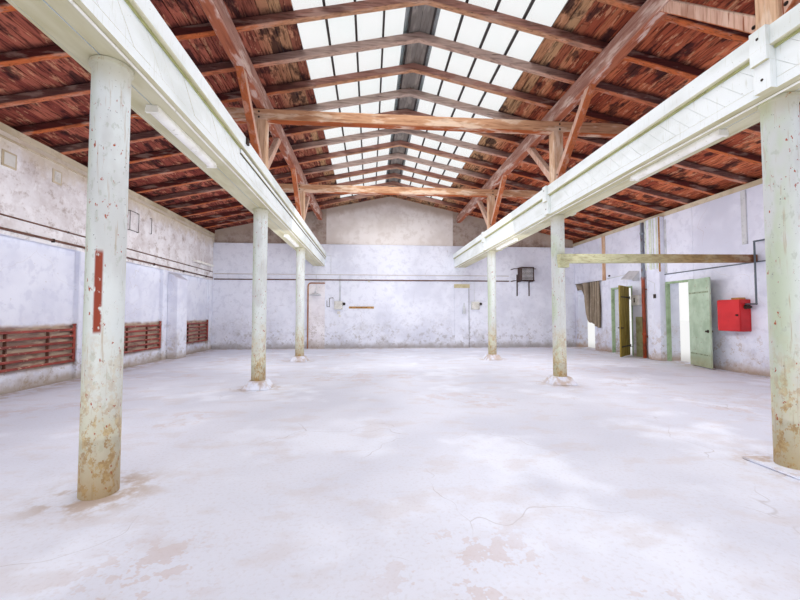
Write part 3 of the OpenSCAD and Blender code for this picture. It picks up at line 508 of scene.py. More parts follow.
def pipe_finish():
    """Wall pipes: brown to the left and at the back, pale high up there, blue-grey on the right."""
    f = Finish("wall_pipe_paint", roughness=0.5, specular=0.4)
    color = f.mix("#744f40", "#5a392d", f.blotches(0.2, 0.4, 0.7))
    high_pipe = f.times(f.band("Y", BACK_Y - 0.06, BACK_Y - 0.04), f.band("Z", 3.2, 3.22))
    color = f.mix(color, "#cfc9c6", high_pipe)
    color = f.mix(color, "#5b646d", f.band("X", 7.0, 7.2))
    spots = f.noise(0.05)
    color = f.mix(color, "#a08a7c", f.spread(spots, 0.62, 0.68), 0.6)
    return f.paint(color, spots, depth=0.001, strength=0.4)


def downpipe_finish():
    """Blue-grey above and rust red below, brighter at the foot."""
    f = Finish("downpipe_paint", roughness=0.55, specular=0.4)
    color = f.mix("#9a4a33", "#8d97a3", f.band("Z", 2.7, 2.9, ragged=0.3))
    color = f.mix(color, "#c2562c", f.band("Z", 1.2, 0.5, ragged=0.4))
    color = f.mix(color, "#5e3a30", f.blotches(0.1, 0.5, 0.62, stretch=(1, 1, 3), detail=4.0), 0.7)
    return f.paint(color, f.noise(0.04), depth=0.001, strength=0.5)


def register_finish():
    """Dark red pipes, painted paler on their upper sides as painted light."""
    f = Finish("register_paint", roughness=0.5, specular=0.4)
    color = f.mix("#9c463c", "#74332c", f.blotches(0.2, 0.4, 0.65, stretch=(1, 3, 1)))
    # Painted highlight: the upper sides are paler pink, as if lit from above
    color = f.mix(color, "#b98f80", f.facing("Z", 0.35, 0.9, "Normal"), 0.7)
    spots = f.noise(0.05, (1, 2, 1))
    color = f.mix(color, "#c9a58c", f.spread(spots, 0.62, 0.66), 0.8)
    return f.paint(color, spots, depth=0.001, strength=0.5)


def door_green_finish():
    """Pale green paint with rubbed and rusty spots."""
    f = Finish("green_leaf", roughness=0.5, specular=0.35)
    color = f.mix("#b9cdb6", "#a3b99f", f.blotches(0.5, 0.4, 0.66))
    color = f.mix(color, "#c9d7c5", f.blotches(0.2, 0.5, 0.7, stretch=(1, 1, 2), detail=4.0), 0.5)
    spots = f.noise(0.05, detail=4.0)
    color = f.mix(color, "#8b5a35", f.spread(spots, 0.665, 0.69))
    color = f.mix(color, "#9a8a60", f.band("Z", FLOOR_Z + 0.5, FLOOR_Z + 0.05, ragged=0.5), 0.5)
    return f.paint(color, spots, depth=0.001, strength=0.4)


def sheet_finish():
    """Milky translucent sheet that lets the sky show through."""
    f = Finish("skylight_sheet", roughness=0.35, specular=0.4)
    f.shader.inputs["Alpha"].default_value = 0.10
    return f.paint(f.mix("#f2f9f7", "#cfeeea", f.blotches(0.8, 0.4, 0.7)))


def cloth_finish():
    """Coarse dusty cloth with a plain weave, with painted shade in the fold hollows towards the wall, which
    leaves the folds paler.
    """
    f = Finish("curtain_cloth", roughness=0.95, specular=0.1)
    color = f.mix("#a89a88", "#8b7d6c", f.blotches(0.5, 0.35, 0.75, stretch=(1, 1, 2)))
    color = f.mix(color, "#bcaf9d", f.blotches(0.12, 0.5, 0.7, detail=4.0), 0.35)
    # Painted shade: darker towards the wall, in the hollows of the folds
    hollow = f.spread(f.along("X"), RIGHT_X - 0.13, RIGHT_X - 0.05)
    color = f.mix(color, "#3b3128", hollow, 0.85)
    weft = f.node("TexWave", {"Vector": f.place, "Scale": 60.0}, bands_direction="Z").outputs["Fac"]
    warp = f.node("TexWave", {"Vector": f.place, "Scale": 60.0}, bands_direction="Y").outputs["Fac"]
    return f.paint(color, f.times(weft, warp), depth=0.0015, strength=0.6)


FINISHES = {
    "masonry_wall": plaster_finish("wall_plaster", "#e6e9f7", "#d3d6e6", "#a78a6c"),
    "grey_plaster": gable_finish(),
    "concrete": floor_finish(),
    "column_iron": column_finish(),
    "painted_timber": girder_finish(),
    # Ties: painted shade, darker red-brown on their undersides
    "frame_timber": wood_finish(
        "tie_timber", "#c79a78", "#7c4427", "#ecdac4", "X", under="#ab592f", worn=0.6),
    "dark_timber": rafter_finish(),
    "roof_board": roof_board_finish(),
    "roof_covering": felt_finish(),
    "sheet_metal": paint_finish("zinc", "#8b9295", "#747b7f", "#a9afb0", 0.4, 0.6, size=0.3),
    "skylight_bar": paint_finish("bar_paint", "#3b3634", "#262122", "#6d4a3c", 0.6),
    "skylight_sheet": sheet_finish(),
    "door_frame": paint_finish("green_frame", "#9fb592", "#839a76", "#5c4a3a", 0.5),
    "door_leaf_olive": wood_finish("olive_leaf", "#8f7d3a", "#5f4f22", "#b3a45c", "Z", worn=0.5),
    "door_leaf_green": door_green_finish(),
    "rusty_iron": paint_finish("iron", "#41352f", "#2b2422", "#7c4a32", 0.7, 0.3),
    "red_pipe": register_finish(),
    "brown_pipe": pipe_finish(),
    "heater_metal": paint_finish("heater_paint", "#483631", "#33241f", "#75625a", 0.6),
    "fire_red": paint_finish("cabinet_red", "#cf2a2e", "#b01d22", "#8d1a1e", 0.35, size=0.4, amount=0.3),
    "switch_box": paint_finish("box_plastic", "#dcdbd6", "#c6c4bd", "#8f8c84", 0.5),
    "curtain_cloth": cloth_finish(),
    "lamp_body": paint_finish("lamp_enamel", "#f8f7f1", "#ebe8de", "#b3ae9a", 0.45),
}
RENDER = render_finish()
LEFT_PLASTER = left_wall_finish()
BACK_PLASTER = plaster_finish("back_plaster", "#e5e8f4", "#d2d5e3", "#97908c", foot=0.55, shift=3)
PATCH_PLASTER = plaster_finish("patch_plaster", "#f0eef2", "#ddd9df", "#97897d", foot=0.75, shift=9)
CORNICE_PLASTER = plaster_finish("cornice_plaster", "#d3c7b0", "#b8a98e", "#8d7c62", shift=13)
# Purlins: painted shade, a darker orange-brown on their undersides
PURLIN_WOOD = wood_finish("purlin_timber", "#b28a7c", "#733c30", "#e6d3c8", "Y", under="#aa6448", worn=0.6)
POST_WOOD = wood_finish("post_timber", "#d6b496", "#96603f", "#ecdccb", "Z", worn=0.5)
# Braces: painted shade, darker red-brown on their lower sides
BRACE_WOOD = wood_finish(
    "brace_timber", "#dcc6b6", "#8a5238", "#e6d2c2", "Z", under="#b9673f", worn=0.25, turn=(0.2, -0.3))
RIDGE_WOOD = wood_finish("ridge_timber", "#7d7772", "#565049", "#a59d96", "Y")
OLD_WOOD = wood_finish("old_board", "#b98d56", "#7d5a36", "#d6b585", "X")
OCHRE_PAINT = wood_finish("ochre_pipe", "#a9785a", "#7b4c38", "#cfa578", "Z")
# Olive strips: painted shade under the girder chords
SHADE_STRIP_PAINT = paint_finish("painted_shade_strip", "#aeb07a", "#9a9b66", "#77784e", 0.6)
PALE_METAL = paint_finish("pale_metal", "#cfd2d6", "#b3b7bd", "#8d8a86", 0.5)
RIB_PAINT = paint_finish("rib_paint", "#dbe2d6", "#c3cdbb", "#8d7a62", 0.6)
DADO_PAINT = paint_finish("old_dado", "#a9ab83", "#8d8a63", "#6d5a43", 0.7)
STRAP_PAINT = paint_finish("strap_paint", "#9fae93", "#7f8c72", "#6b4329", 0.55, size=0.1, amount=0.9)
LINTEL_PAINT = paint_finish("lintel_paint", "#c9bf9c", "#b3a985", "#8d835f", 0.7)
DOWNPIPE_PAINT = downpipe_finish()


def finish_mesh(name, mesh, slot, body=HALL, finish=None, replaces=(), smooth=35, outer=None):
    """Turns a bmesh into a piece that rides on a body and takes its finish from a slot."""
    data = bpy.data.meshes.new(name)
    bmesh.ops.recalc_face_normals(mesh, faces=mesh.faces)
    mesh.to_mesh(data)
    mesh.free()
    if smooth:
        data.shade_smooth()
        data.set_sharp_from_angle(angle=math.radians(smooth))
    piece = bpy.data.objects.new(name, data)
    bpy.context.scene.collection.objects.link(piece)
    data.materials.append(finish or FINISHES[slot])
    if outer:
        data.materials.append(outer)
        for face in data.polygons:
            face.material_index = int(abs(face.center.x) > OUT_X or abs(face.center.y) > OUT_Y)
    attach(piece, body)
    if replaces:
        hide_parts(*replaces)
    return piece


def add_block(mesh, corners, tone=None):
    """Adds a six-sided block from its lower four and upper four corners."""
    verts = [mesh.verts.new(c) for c in corners]
    layer = mesh.faces.layers.float.get("tone") if tone is not None else None
    for quad in ((3, 2, 1, 0), (4, 5, 6, 7), (0, 1, 5, 4), (1, 2, 6, 5), (2, 3, 7, 6), (3, 0, 4, 7)):
        face = mesh.faces.new([verts[k] for k in quad])
        if layer is not None:
            face[layer] = tone


def box_corners(low, high):
    """The lower four and the upper four corners of a box."""
    (x0, y0, z0), (x1, y1, z1) = low, high
    plan = [(x0, y0), (x1, y0), (x1, y1), (x0, y1)]
    return [Vector((x, y, z)) for z in (z0, z1) for x, y in plan]


def add_box(mesh, low, high):
    """Adds a box from its low and its high corner."""
    add_block(mesh, box_corners(low, high))


def close_rings(mesh, rings, hollow=False):
    """Faces between rings of vertices, and caps on both ends, or an inner wall if it is hollow."""
    size = len(rings[0])
    pairs = list(zip(rings, rings[1:])) + ([(rings[-1], rings[0])] if hollow else [])
    for near, far in pairs:
        for i in range(size):
            mesh.faces.new((near[i], near[(i + 1) % size], far[(i + 1) % size], far[i]))
    if not hollow:
        mesh.faces.new(rings[0][::-1])
        mesh.faces.new(rings[-1])


def ease_edges(mesh, width, segments=2):
    """Takes the sharp edges off. Only the new faces are shaded round, so flat faces stay flat."""
    for face in mesh.faces:
        face.smooth = False
    sharp = [e for e in mesh.edges if len(e.link_faces) == 2 and e.calc_face_angle(0) > math.radians(40)]
    made = bmesh.ops.bevel(
        mesh, geom=sharp, offset=width, segments=segments, affect="EDGES", clamp_overlap=True)
    for face in made["faces"]:
        face.smooth = True


def trim(name, slot, boxes, finish=None, ease=0.004, body=HALL, place=None, replaces=()):
    """One piece from boxes with eased edges. Each box is its low and its high corner."""
    mesh = bmesh.new()
    for low, high in boxes:
        add_box(mesh, low, high)
    ease_edges(mesh, ease)
    if place:
        mesh.transform(place)
    return finish_mesh(name, mesh, slot, body, finish, replaces, smooth=0)


def add_tube(mesh, points, radius, sides=12):
    """A round bar along a run of points, with mitred bends."""
    points = [Vector(p) for p in points]
    steps = [(b - a).normalized() for a, b in zip(points, points[1:])]
    side = steps[0].orthogonal().normalized()
    rings = []
    for k, point in enumerate(points):
        before, after = steps[max(k - 1, 0)], steps[min(k, len(steps) - 1)]
        heading = (before + after).normalized()
        side = (side - heading * side.dot(heading)).normalized()
        up = heading.cross(side)
        bend = before.cross(after)
        out = heading.cross(bend).normalized() if bend.length > 1e-4 else Vector()
        widen = 1 / max(0.4, heading.dot(before)) - 1
        ring = []
        for i in range(sides):
            angle = 2 * math.pi * i / sides
            spoke = side * math.cos(angle) + up * math.sin(angle)
            spoke += out * spoke.dot(out) * widen
            ring.append(mesh.verts.new(point + spoke * radius))
        rings.append(ring)
    close_rings(mesh, rings)


def tubes(name, slot, runs, finish=None):
    """One piece from round bars. Each run is a radius and its points."""
    mesh = bmesh.new()
    for radius, points in runs:
        add_tube(mesh, points, radius)
    return finish_mesh(name, mesh, slot, finish=finish)


def add_turned(mesh, centre, axis, profile, hollow=False, sides=20):
    """A turned form: the profile's (distance, radius) pairs along an axis from the centre."""
    axis = Vector(axis).normalized()
    side = axis.orthogonal().normalized()
    up = axis.cross(side)
    rings = []
    for distance, radius in profile:
        middle = Vector(centre) + axis * distance
        angles = [2 * math.pi * i / sides for i in range(sides)]
        spokes = [side * math.cos(a) + up * math.sin(a) for a in angles]
        rings.append([mesh.verts.new(middle + spoke * radius) for spoke in spokes])
    close_rings(mesh, rings, hollow)


def turned(name, slot, forms, finish=None, body=HALL, place=None):
    """One piece from turned forms: a centre, an axis, a profile and perhaps True if it is hollow."""
    mesh = bmesh.new()
    for form in forms:
        add_turned(mesh, *form)
    if place:
        mesh.transform(place)
    return finish_mesh(name, mesh, slot, body, finish)


SMALL_BOLT = 0.007


def bolt_head(size):
    """The profile of a round bolt head on its washer."""
    washer, thick = size * 1.6, size * 0.25
    return [(0, washer), (thick, washer), (thick, size), (size, size), (size * 1.2, size * 0.6)]


def ring_order(points, direction):
    """Four corners of a section, in order round the direction."""
    centre = sum(points, Vector()) / len(points)
    side = direction.cross(Vector((0, 0, 1)) if abs(direction.z) < 0.9 else Vector((1, 0, 0))).normalized()
    up = direction.cross(side)
    return sorted(points, key=lambda p: math.atan2((p - centre).dot(up), (p - centre).dot(side)))


def add_timber(mesh, corners, along, wane=0.012, wobble=0.005, step=0.3):
    """A hewn timber inside a solid with eight corners: edges taken off, faces slightly uneven."""
    ordered = sorted(corners, key=lambda p: (p["XYZ".index(along)], p.x, p.y, p.z))
    first, last = ordered[:4], ordered[4:]
    run = sum(last, Vector()) / 4 - sum(first, Vector()) / 4
    first, last = ring_order(first, run.normalized()), ring_order(last, run.normalized())
    count = max(2, round(run.length / step))
    rings = []
    for k in range(count + 1):
        quad = [a.lerp(b, k / count) for a, b in zip(first, last)]
        middle = sum(quad, Vector()) / 4
        ring = []
        for i, corner in enumerate(quad):
            for other in (quad[i - 1], quad[(i + 1) % 4]):
                edge = other - corner
                cut = wane * (1 + 0.7 * noise.noise(corner * 1.7))
                point = corner + edge.normalized() * min(cut, edge.length * 0.4)
                inward = (middle - point).normalized()
                uneven = wobble * (0.55 + 0.45 * noise.noise(point * 2.3)) if 0 < k < count else 0
                ring.append(mesh.verts.new(point + inward * uneven))
        rings.append(ring)
    close_rings(mesh, rings)


def stand_in(node, ending, mesh, **look):
    """A piece in place of a CAD node, in the node's own slot."""
    return finish_mesh(node + ending, mesh, SLOTS[node], replaces=[node], **look)


def timbers(node, along, finish=None, **look):
    """Hewn timbers in place of a CAD node whose solids each have eight corners."""
    mesh = bmesh.new()
    for corners in solids(node):
        add_timber(mesh, corners, along, **look)
    return stand_in(node, "_hewn", mesh, finish=finish, smooth=30)


def softened(node, width=0.006, finish=None, outer=None, smooth=0):
    """A copy of a CAD node with its edges taken off, in place of the node."""
    mesh = merged(node)
    bmesh.ops.dissolve_limit(mesh, angle_limit=math.radians(1), verts=mesh.verts, edges=mesh.edges)
    ease_edges(mesh, width)
    return stand_in(node, "_soft", mesh, finish=finish, smooth=smooth, outer=outer)


def rounded(node, finish=None):
    """A copy of a CAD node with its round faces shaded round, in place of the node."""
    return stand_in(node, "_round", merged(node), finish=finish, smooth=40)


def lengths(chance, start, end, shortest, longest):
    """Splits a stretch into random lengths and yields the ends of each."""
    at = start
    while at < end - 0.01:
        stop = min(at + chance.uniform(shortest, longest), end)
        if end - stop < shortest * 0.4:
            stop = end
        yield at, stop
        at = stop


def slope_point(side, r, h, y):
    """A point on a roof slope: r away from the ridge line, h above the rafter undersides."""
    return Vector((RIDGE_X + side * r, y, RIDGE_UNDER - SLOPE * r + h))


def add_slope_block(mesh, side, r0, r1, y0, y1, h0, h1, tone):
    """A flat block that lies on a roof slope."""
    plan = [(r0, y0), (r1, y0), (r1, y1), (r0, y1)]
    add_block(mesh, [slope_point(side, r, h, y) for h in (h0, h1) for r, y in plan], tone)


BOARD_WIDTH = 0.172
BOARD_GAP = 0.009
BUTT_GAP = 0.004
BOARD_T = 0.025
SHORTEST_BOARD, LONGEST_BOARD = 2.2, 5.2
FELT_WIDTH = 0.96
FELT_T = 0.012


def roof_fields():
    """The parts of the roof outside the skylight: side, r range and y range."""
    low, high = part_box("roof_boards")
    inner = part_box("skylight_bars")[1].x - RIDGE_X - 0.04
    skylight_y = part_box("ridge_boards")[1].y
    for side, reach in ((-1, RIDGE_X - low.x), (1, high.x - RIDGE_X)):
        yield side, inner, reach, low.y, high.y
        for y0, y1 in ((low.y, -skylight_y), (skylight_y, high.y)):
            yield side, 0.001, inner - 0.001, y0, y1


def roof_boards():
    """Single boards along both slopes, with random lengths and shades, in place of the plain plates."""
    chance = random.Random(11)
    seat = RAFTER_H + 0.0003
    mesh = bmesh.new()
    mesh.faces.layers.float.new("tone")
    for side, r_start, r_end, y_start, y_end in roof_fields():
        count = round((r_end - r_start) / BOARD_WIDTH)
        for k in range(count):
            r0 = r_start + (r_end - r_start) * k / count
            r1 = r_start + (r_end - r_start) * (k + 1) / count - BOARD_GAP * chance.uniform(0.3, 1.6)
            for y0, y1 in lengths(chance, y_start, y_end, SHORTEST_BOARD, LONGEST_BOARD):
                drop = chance.uniform(0, 0.004)
                add_slope_block(mesh, side, r0, r1, y0, y1 - BUTT_GAP,
                                seat + drop, seat + BOARD_T, chance.random())
    finish_mesh("roof_board_rows", mesh, "roof_board", replaces=["roof_boards"], smooth=0)


def roof_felt():
    """Strips of felt that run down the slopes and lap over each other, in place of the plain covering."""
    chance = random.Random(4)
    mesh = bmesh.new()
    mesh.faces.layers.float.new("tone")
    seat = RAFTER_H + BOARD_T + 0.0006
    for side, r_start, r_end, y_start, y_end in roof_fields():
        count = max(1, round((y_end - y_start) / FELT_WIDTH))
        for k in range(count):
            y0 = y_start + (y_end - y_start) * k / count
            y1 = y_start + (y_end - y_start) * (k + 1) / count
            top = seat + FELT_T - 0.0035 * (k % 2) - chance.uniform(0.0004, 0.001)
            lap = 0.04 * (k % 2 == 0)
            add_slope_block(mesh, side, r_start, r_end, max(y0 - lap, y_start), min(y1 + lap, y_end),
                            seat, top, chance.random())
    finish_mesh("roof_felt_strips", mesh, "roof_covering", replaces=["roof_covering"], smooth=0)


def frame_timbers():
    """Hewn timbers for the roof frames, the girder posts, the wall plates and the ridge."""
    timbers("rafters", "X", wane=0.010)
    timbers("tie_beams", "X", wane=0.018, wobble=0.008)
    timbers("purlins", "Y", PURLIN_WOOD, wane=0.016, wobble=0.008)
    timbers("girder_posts", "Z", POST_WOOD, wane=0.014)
    timbers("purlin_braces", "Z", BRACE_WOOD, wane=0.012)
    timbers("wall_plates", "Y", CORNICE_PLASTER, wane=0.008, wobble=0.003)
    timbers("right_wall_post", "Z", POST_WOOD, wane=0.010)
    timbers("ridge_boards", "Y", RIDGE_WOOD, wane=0.003, wobble=0.002)
    timbers("skylight_bars", "Y", FINISHES["skylight_bar"], wane=0.004, wobble=0.001, step=1.0)


BRACE_HALF = 0.065
TIE_HALF = 0.09
FRAME_BOLT = 0.013
FOOT_BOLT_UP, FOOT_BOLT_OFF = 0.12, 0.15
TIE_BOLTS_UP = (0.06, 0.17)


def frame_ironwork():
    """Bolts through the feet of the braces and through the ties above the posts."""
    forms = []
    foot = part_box("purlin_braces")[0].z + FOOT_BOLT_UP
    for x, inward in zip(ROW_X, (1, -1)):
        for y in FRAMES_Y:
            for dy in (-FOOT_BOLT_OFF, FOOT_BOLT_OFF):
                at = (x + inward * BRACE_HALF, y + dy, foot)
                forms.append((at, (inward, 0, 0), bolt_head(FRAME_BOLT)))
            for dz in TIE_BOLTS_UP:
                at = (x - 0.04 * inward, y - TIE_HALF, TIE_Z + dz)
                forms.append((at, (0, -1, 0), bolt_head(FRAME_BOLT)))
    turned("frame_bolts", "rusty_iron", forms)


# The girders: sizes that only the surface boards need
PLANK_T = 0.030
FOOT_PLANK_H = 0.095
SHORTEST_PLANK, LONGEST_PLANK = 3.0, 4.4
WEB_BOARD = 0.21
JOINT = 0.003
SLIT = 0.012
BACKING_HALF = 0.05
SLIVER = 0.004
STIFFENER_W, STIFFENER_OFF, STIFFENER_DROP = 0.15, 0.12, 0.13
STIFFENER_FOOT, STIFFENER_HEAD = 0.06, 0.04
STIFFENER_BOLT = 0.008


def clamped(y0, y1):
    """A stretch of a girder's length that ends at the gables and keeps some width."""
    y0, y1 = (min(max(y, FRONT_Y), BACK_Y) for y in (y0, y1))
    if y1 - y0 < SLIVER:
        y0, y1 = (y1 - SLIVER, y1) if y1 > 0 else (y0, y0 + SLIVER)
    return y0, y1


def girder_boards():
    """Foot planks, diagonal web boards and soffit planks, in place of the plain chords and webs."""
    chance = random.Random(5)
    mesh = bmesh.new()
    foot_top = SOFFIT_Z + FOOT_PLANK_H
    for x in ROW_X:
        lean = (WEB_TOP_Z - foot_top) * (1 if x > RIDGE_X else -1)
        for side in (-1, 1):
            for y0, y1 in lengths(chance, FRONT_Y, BACK_Y, SHORTEST_PLANK, LONGEST_PLANK):
                face = x + side * (GIRDER_HALF - chance.uniform(0, 0.002))
                low, high = sorted((face, face - side * PLANK_T))
                add_box(mesh, (low, y0, SOFFIT_Z), (high, y1 - JOINT, foot_top - JOINT))
            for y0, y1 in lengths(chance, FRONT_Y, BACK_Y, SHORTEST_PLANK, LONGEST_PLANK):
                low, high = sorted((x + side * SLIT / 2, x + side * (GIRDER_HALF - PLANK_T - JOINT)))
                add_box(mesh, (low, y0, SOFFIT_Z + 0.002), (high, y1 - JOINT, SOFFIT_Z + PLANK_T))
            at = FRONT_Y - abs(lean)
            while at < BACK_Y + abs(lean):
                stop = at + WEB_BOARD * chance.uniform(0.85, 1.15)
                foot, head = clamped(at, stop - JOINT), clamped(at + lean, stop - JOINT + lean)
                quad = [(y, foot_top) for y in foot] + [(y, WEB_TOP_Z) for y in reversed(head)]
                face = x + side * (GIRDER_HALF - chance.uniform(0, 0.003))
                if foot[1] - foot[0] > 2 * SLIVER or head[1] - head[0] > 2 * SLIVER:
                    planes = (face - side * PLANK_T, face)
                    add_block(mesh, [Vector((plane, y, z)) for plane in planes for y, z in quad])
                at = stop
    finish_mesh("girder_board_rows", mesh, "painted_timber",
                replaces=["girder_bottom_chords", "girder_webs"], smooth=0)
    plank_top = SOFFIT_Z + PLANK_T
    # Painted shade: a dark backing above the slit between the soffit planks
    backing = [((x - BACKING_HALF, FRONT_Y, plank_top + 0.001),
                (x + BACKING_HALF, BACK_Y, plank_top + 0.02)) for x in ROW_X]
    trim("girder_slit_shade", "painted_timber", backing, FINISHES["skylight_bar"])


def girder_chords():
    """Top chords of long squared timbers that butt at random places."""
    chance = random.Random(8)
    mesh = bmesh.new()
    for x in ROW_X:
        for y0, y1 in lengths(chance, FRONT_Y, BACK_Y, 4.0, 5.4):
            low, high = (x - CHORD_HALF, y0, WEB_TOP_Z), (x + CHORD_HALF, y1 - BUTT_GAP, GIRDER_TOP_Z)
            add_timber(mesh, box_corners(low, high), "Y", wane=0.008, wobble=0.003, step=0.7)
    finish_mesh("girder_chord_timbers", mesh, "painted_timber", replaces=["girder_top_chords"], smooth=30)


def girder_stiffeners():
    """Battens over the right columns, stepped out under the chord, with a bolt at head and foot."""
    mesh = bmesh.new()
    bolts = []
    x = ROW_X[1]
    for side in (-1, 1):
        foot = x + side * (GIRDER_HALF + STIFFENER_FOOT)
        head = x + side * (CHORD_HALF + STIFFENER_HEAD)
        for y in FRAMES_Y:
            y0 = y - STIFFENER_OFF - STIFFENER_W / 2
            y1 = y0 + STIFFENER_W
            step_z = WEB_TOP_Z - STIFFENER_DROP
            blocks = [((x + side * GIRDER_HALF, y0, SOFFIT_Z), (foot, y1, step_z)),
                      ((x + side * GIRDER_HALF, y0, step_z + 0.001), (head, y1, WEB_TOP_Z)),
                      ((x + side * CHORD_HALF, y0, WEB_TOP_Z + 0.001), (head, y1, GIRDER_TOP_Z))]
            for low, high in blocks:
                xs = sorted((low[0], high[0]))
                add_box(mesh, (xs[0], *low[1:]), (xs[1], *high[1:]))
            middle = y0 + STIFFENER_W / 2
            bolts.append(((head, middle, GIRDER_TOP_Z - 0.09), (side, 0, 0), bolt_head(STIFFENER_BOLT)))
            bolts.append(((foot, middle, SOFFIT_Z + 0.11), (side, 0, 0), bolt_head(STIFFENER_BOLT)))
    ease_edges(mesh, 0.006)
    finish_mesh("girder_battens", mesh, "painted_timber", smooth=0)
    turned("girder_bolts", "rusty_iron", bolts)


LATH_FROM_Y = 0.2


def girder_trim():
    """Laths, olive strips below the chords as painted shade, a dark strip as painted shadow, a small plate,
    and a conduit under each soffit.
    """
    strips, laths, dark = [], [], []
    for x in ROW_X:
        for side in (-1, 1):
            face = x + side * GIRDER_HALF
            end = LATH_FROM_Y if x < RIDGE_X and side > 0 else BACK_Y
            low, high = sorted((face, face + side * 0.014))
            strips.append(((low, FRONT_Y, WEB_TOP_Z - 0.026), (high, end, WEB_TOP_Z)))
    face = ROW_X[0] + GIRDER_HALF
    laths.append(((face, LATH_FROM_Y, WEB_TOP_Z - 0.085), (face + 0.022, BACK_Y, WEB_TOP_Z - 0.03)))
    # Painted shadow: a dark strip above and below the lath, under the chord. The plate after it is a real
    # part.
    dark.append(((face, LATH_FROM_Y, WEB_TOP_Z - 0.1), (face + 0.006, BACK_Y, WEB_TOP_Z)))
    plate_x = ROW_X[0] + CHORD_HALF
    dark.append(((plate_x, 0.28, WEB_TOP_Z + 0.09), (plate_x + 0.03, 0.36, WEB_TOP_Z + 0.18)))
    # Painted shade: olive strips along the top of each web, under the chords
    trim("girder_strips", "painted_timber", strips, SHADE_STRIP_PAINT)
    trim("girder_laths", "painted_timber", laths)
    trim("girder_shadow_line_and_plate", "rusty_iron", dark, ease=0.001)
    run = [FRONT_Y + (BACK_Y - FRONT_Y) * k / 40 for k in range(41)]
    conduit_x = [ROW_X[0] + GIRDER_HALF - 0.06, ROW_X[1] - GIRDER_HALF + 0.09]
    tubes("girder_conduits", "lamp_body", [
        (0.011, [(x + 0.006 * math.sin(2.1 * y), y, SOFFIT_Z - 0.011) for y in run]) for x in conduit_x])


TRAY_H, LAMP_CAP = 0.028, 0.035


def girder_lamps():
    """Battens under the girders, each with a tray, a round diffuser and end caps."""
    trays = []
    mesh = bmesh.new()
    for corners in solids("girder_lamps"):
        low, high = corner_box(corners)
        x, half = (low.x + high.x) / 2, (high.x - low.x) / 2
        tray_z = high.z - TRAY_H
        trays.append(((low.x + 0.01, low.y, tray_z), (high.x - 0.01, high.y, high.z)))
        for y in (low.y, high.y - LAMP_CAP):
            trays.append(((low.x + 0.002, y, low.z + 0.004), (high.x - 0.002, y + LAMP_CAP, tray_z)))
        angles = [math.pi * k / 12 for k in range(13)]
        arc = [(x + half * 0.92 * math.cos(a), tray_z - (tray_z - low.z) * math.sin(a)) for a in angles]
        ends = (low.y + 0.036, high.y - 0.036)
        close_rings(mesh, [[mesh.verts.new((px, y, pz)) for px, pz in arc] for y in ends])
    finish_mesh("lamp_diffusers", mesh, "lamp_body", replaces=["girder_lamps"])
    trim("lamp_trays", "lamp_body", trays, ease=0.003)


def masonry():
    """Walls, floor, pilasters and plinths with their edges worn off."""
    softened("left_wall", 0.012, LEFT_PLASTER, RENDER)
    softened("left_pilasters", 0.015, LEFT_PLASTER)
    softened("back_wall", 0.012, BACK_PLASTER, RENDER)
    for node in ("right_wall", "right_wall_piers", "right_wall_over_doors", "front_wall", "gables"):
        softened(node, outer=RENDER)
    softened("floor_slab")
    softened("right_pilaster", 0.01)
    softened("column_plinths", 0.012)
    softened("blocked_door", 0.006, BACK_PLASTER)


FIRST_CLIP, CLIP_PITCH, CLIP_COUNT = 0.9, 1.83, 12
REGISTER_PITCH, REGISTER_COUNT = 3.48, 6
HOLDERS_AT = (0.69, 1.61)


def left_wall_fittings():
    """Vent covers, a moulding, a bracket frame, pipe clips, a side lamp, register holders and valves."""
    x = LEFT_X
    covers = [((x, 1.72, 4.28), (x + 0.018, 2.0, 4.57)), ((x, 2.80, 4.35), (x + 0.018, 3.03, 4.64))]
    rim = 0.035
    panes = [((a[0], a[1] + rim, a[2] + rim), (b[0] + 0.006, b[1] - rim, b[2] - rim)) for a, b in covers]
    moulding = ((x, FRONT_Y, 4.775), (x + 0.03, BACK_Y, 4.81))
    trim("vent_frames", "masonry_wall", covers + [moulding], CORNICE_PLASTER)
    trim("vent_covers", "switch_box", panes)
    stand, y0, y1, z0, z1 = x + 0.05, 5.28, 5.67, 3.92, 4.45
    loop = [(stand, y0, z0), (stand, y1, z0), (stand, y1, z1), (stand, y0, z1), (stand, y0, z0 + 0.01)]
    legs = [[(x, y, z), (stand, y, z)] for y in (y0, y1) for z in (z0, z1)]
    far_bar = [[(x, 6.3, 4.02), (stand, 6.3, 4.02), (stand, 6.3, 4.48), (x, 6.3, 4.48)]]
    tubes("wall_bracket_frame", "rusty_iron", [(0.008, run) for run in [loop] + legs + far_bar])
    clips = []
    for k in range(CLIP_COUNT):
        y = FRONT_Y + FIRST_CLIP + CLIP_PITCH * k
        clips.append(((x, y, 3.095), (x + 0.052, y + 0.03, 3.17)))
        clips.append(((x, y + 0.4, 3.37), (x + 0.034, y + 0.42, 3.41)))
    trim("pipe_clips", "rusty_iron", clips, ease=0.002)
    low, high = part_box("pipe_registers")
    holders, valves = [], []
    valve = [(0, 0.036), (0.03, 0.04), (0.05, 0.028), (0.09, 0.028), (0.1, 0.04), (0.12, 0.036)]
    for far in [high.y + 0.03 - REGISTER_PITCH * k for k in range(REGISTER_COUNT)]:
        for y in [far - at for at in HOLDERS_AT]:
            holders.append(((low.x, y - 0.012, low.z + 0.02), (high.x - 0.05, y + 0.012, high.z)))
        valves.append(((high.x - 0.03, far - 0.06, high.z - 0.02), (0, 0, 1), valve))
    trim("register_holders", "brown_pipe", holders)
    turned("register_valves", "red_pipe", valves)
    arms = [((x, y, 3.6), (x + 0.165, y + 0.03, 3.625)) for y in (9.2, 10.05)]
    trim("side_lamp", "lamp_body", [((x + 0.10, 8.9, 3.55), (x + 0.23, 10.4, 3.62))] + arms, ease=0.02)


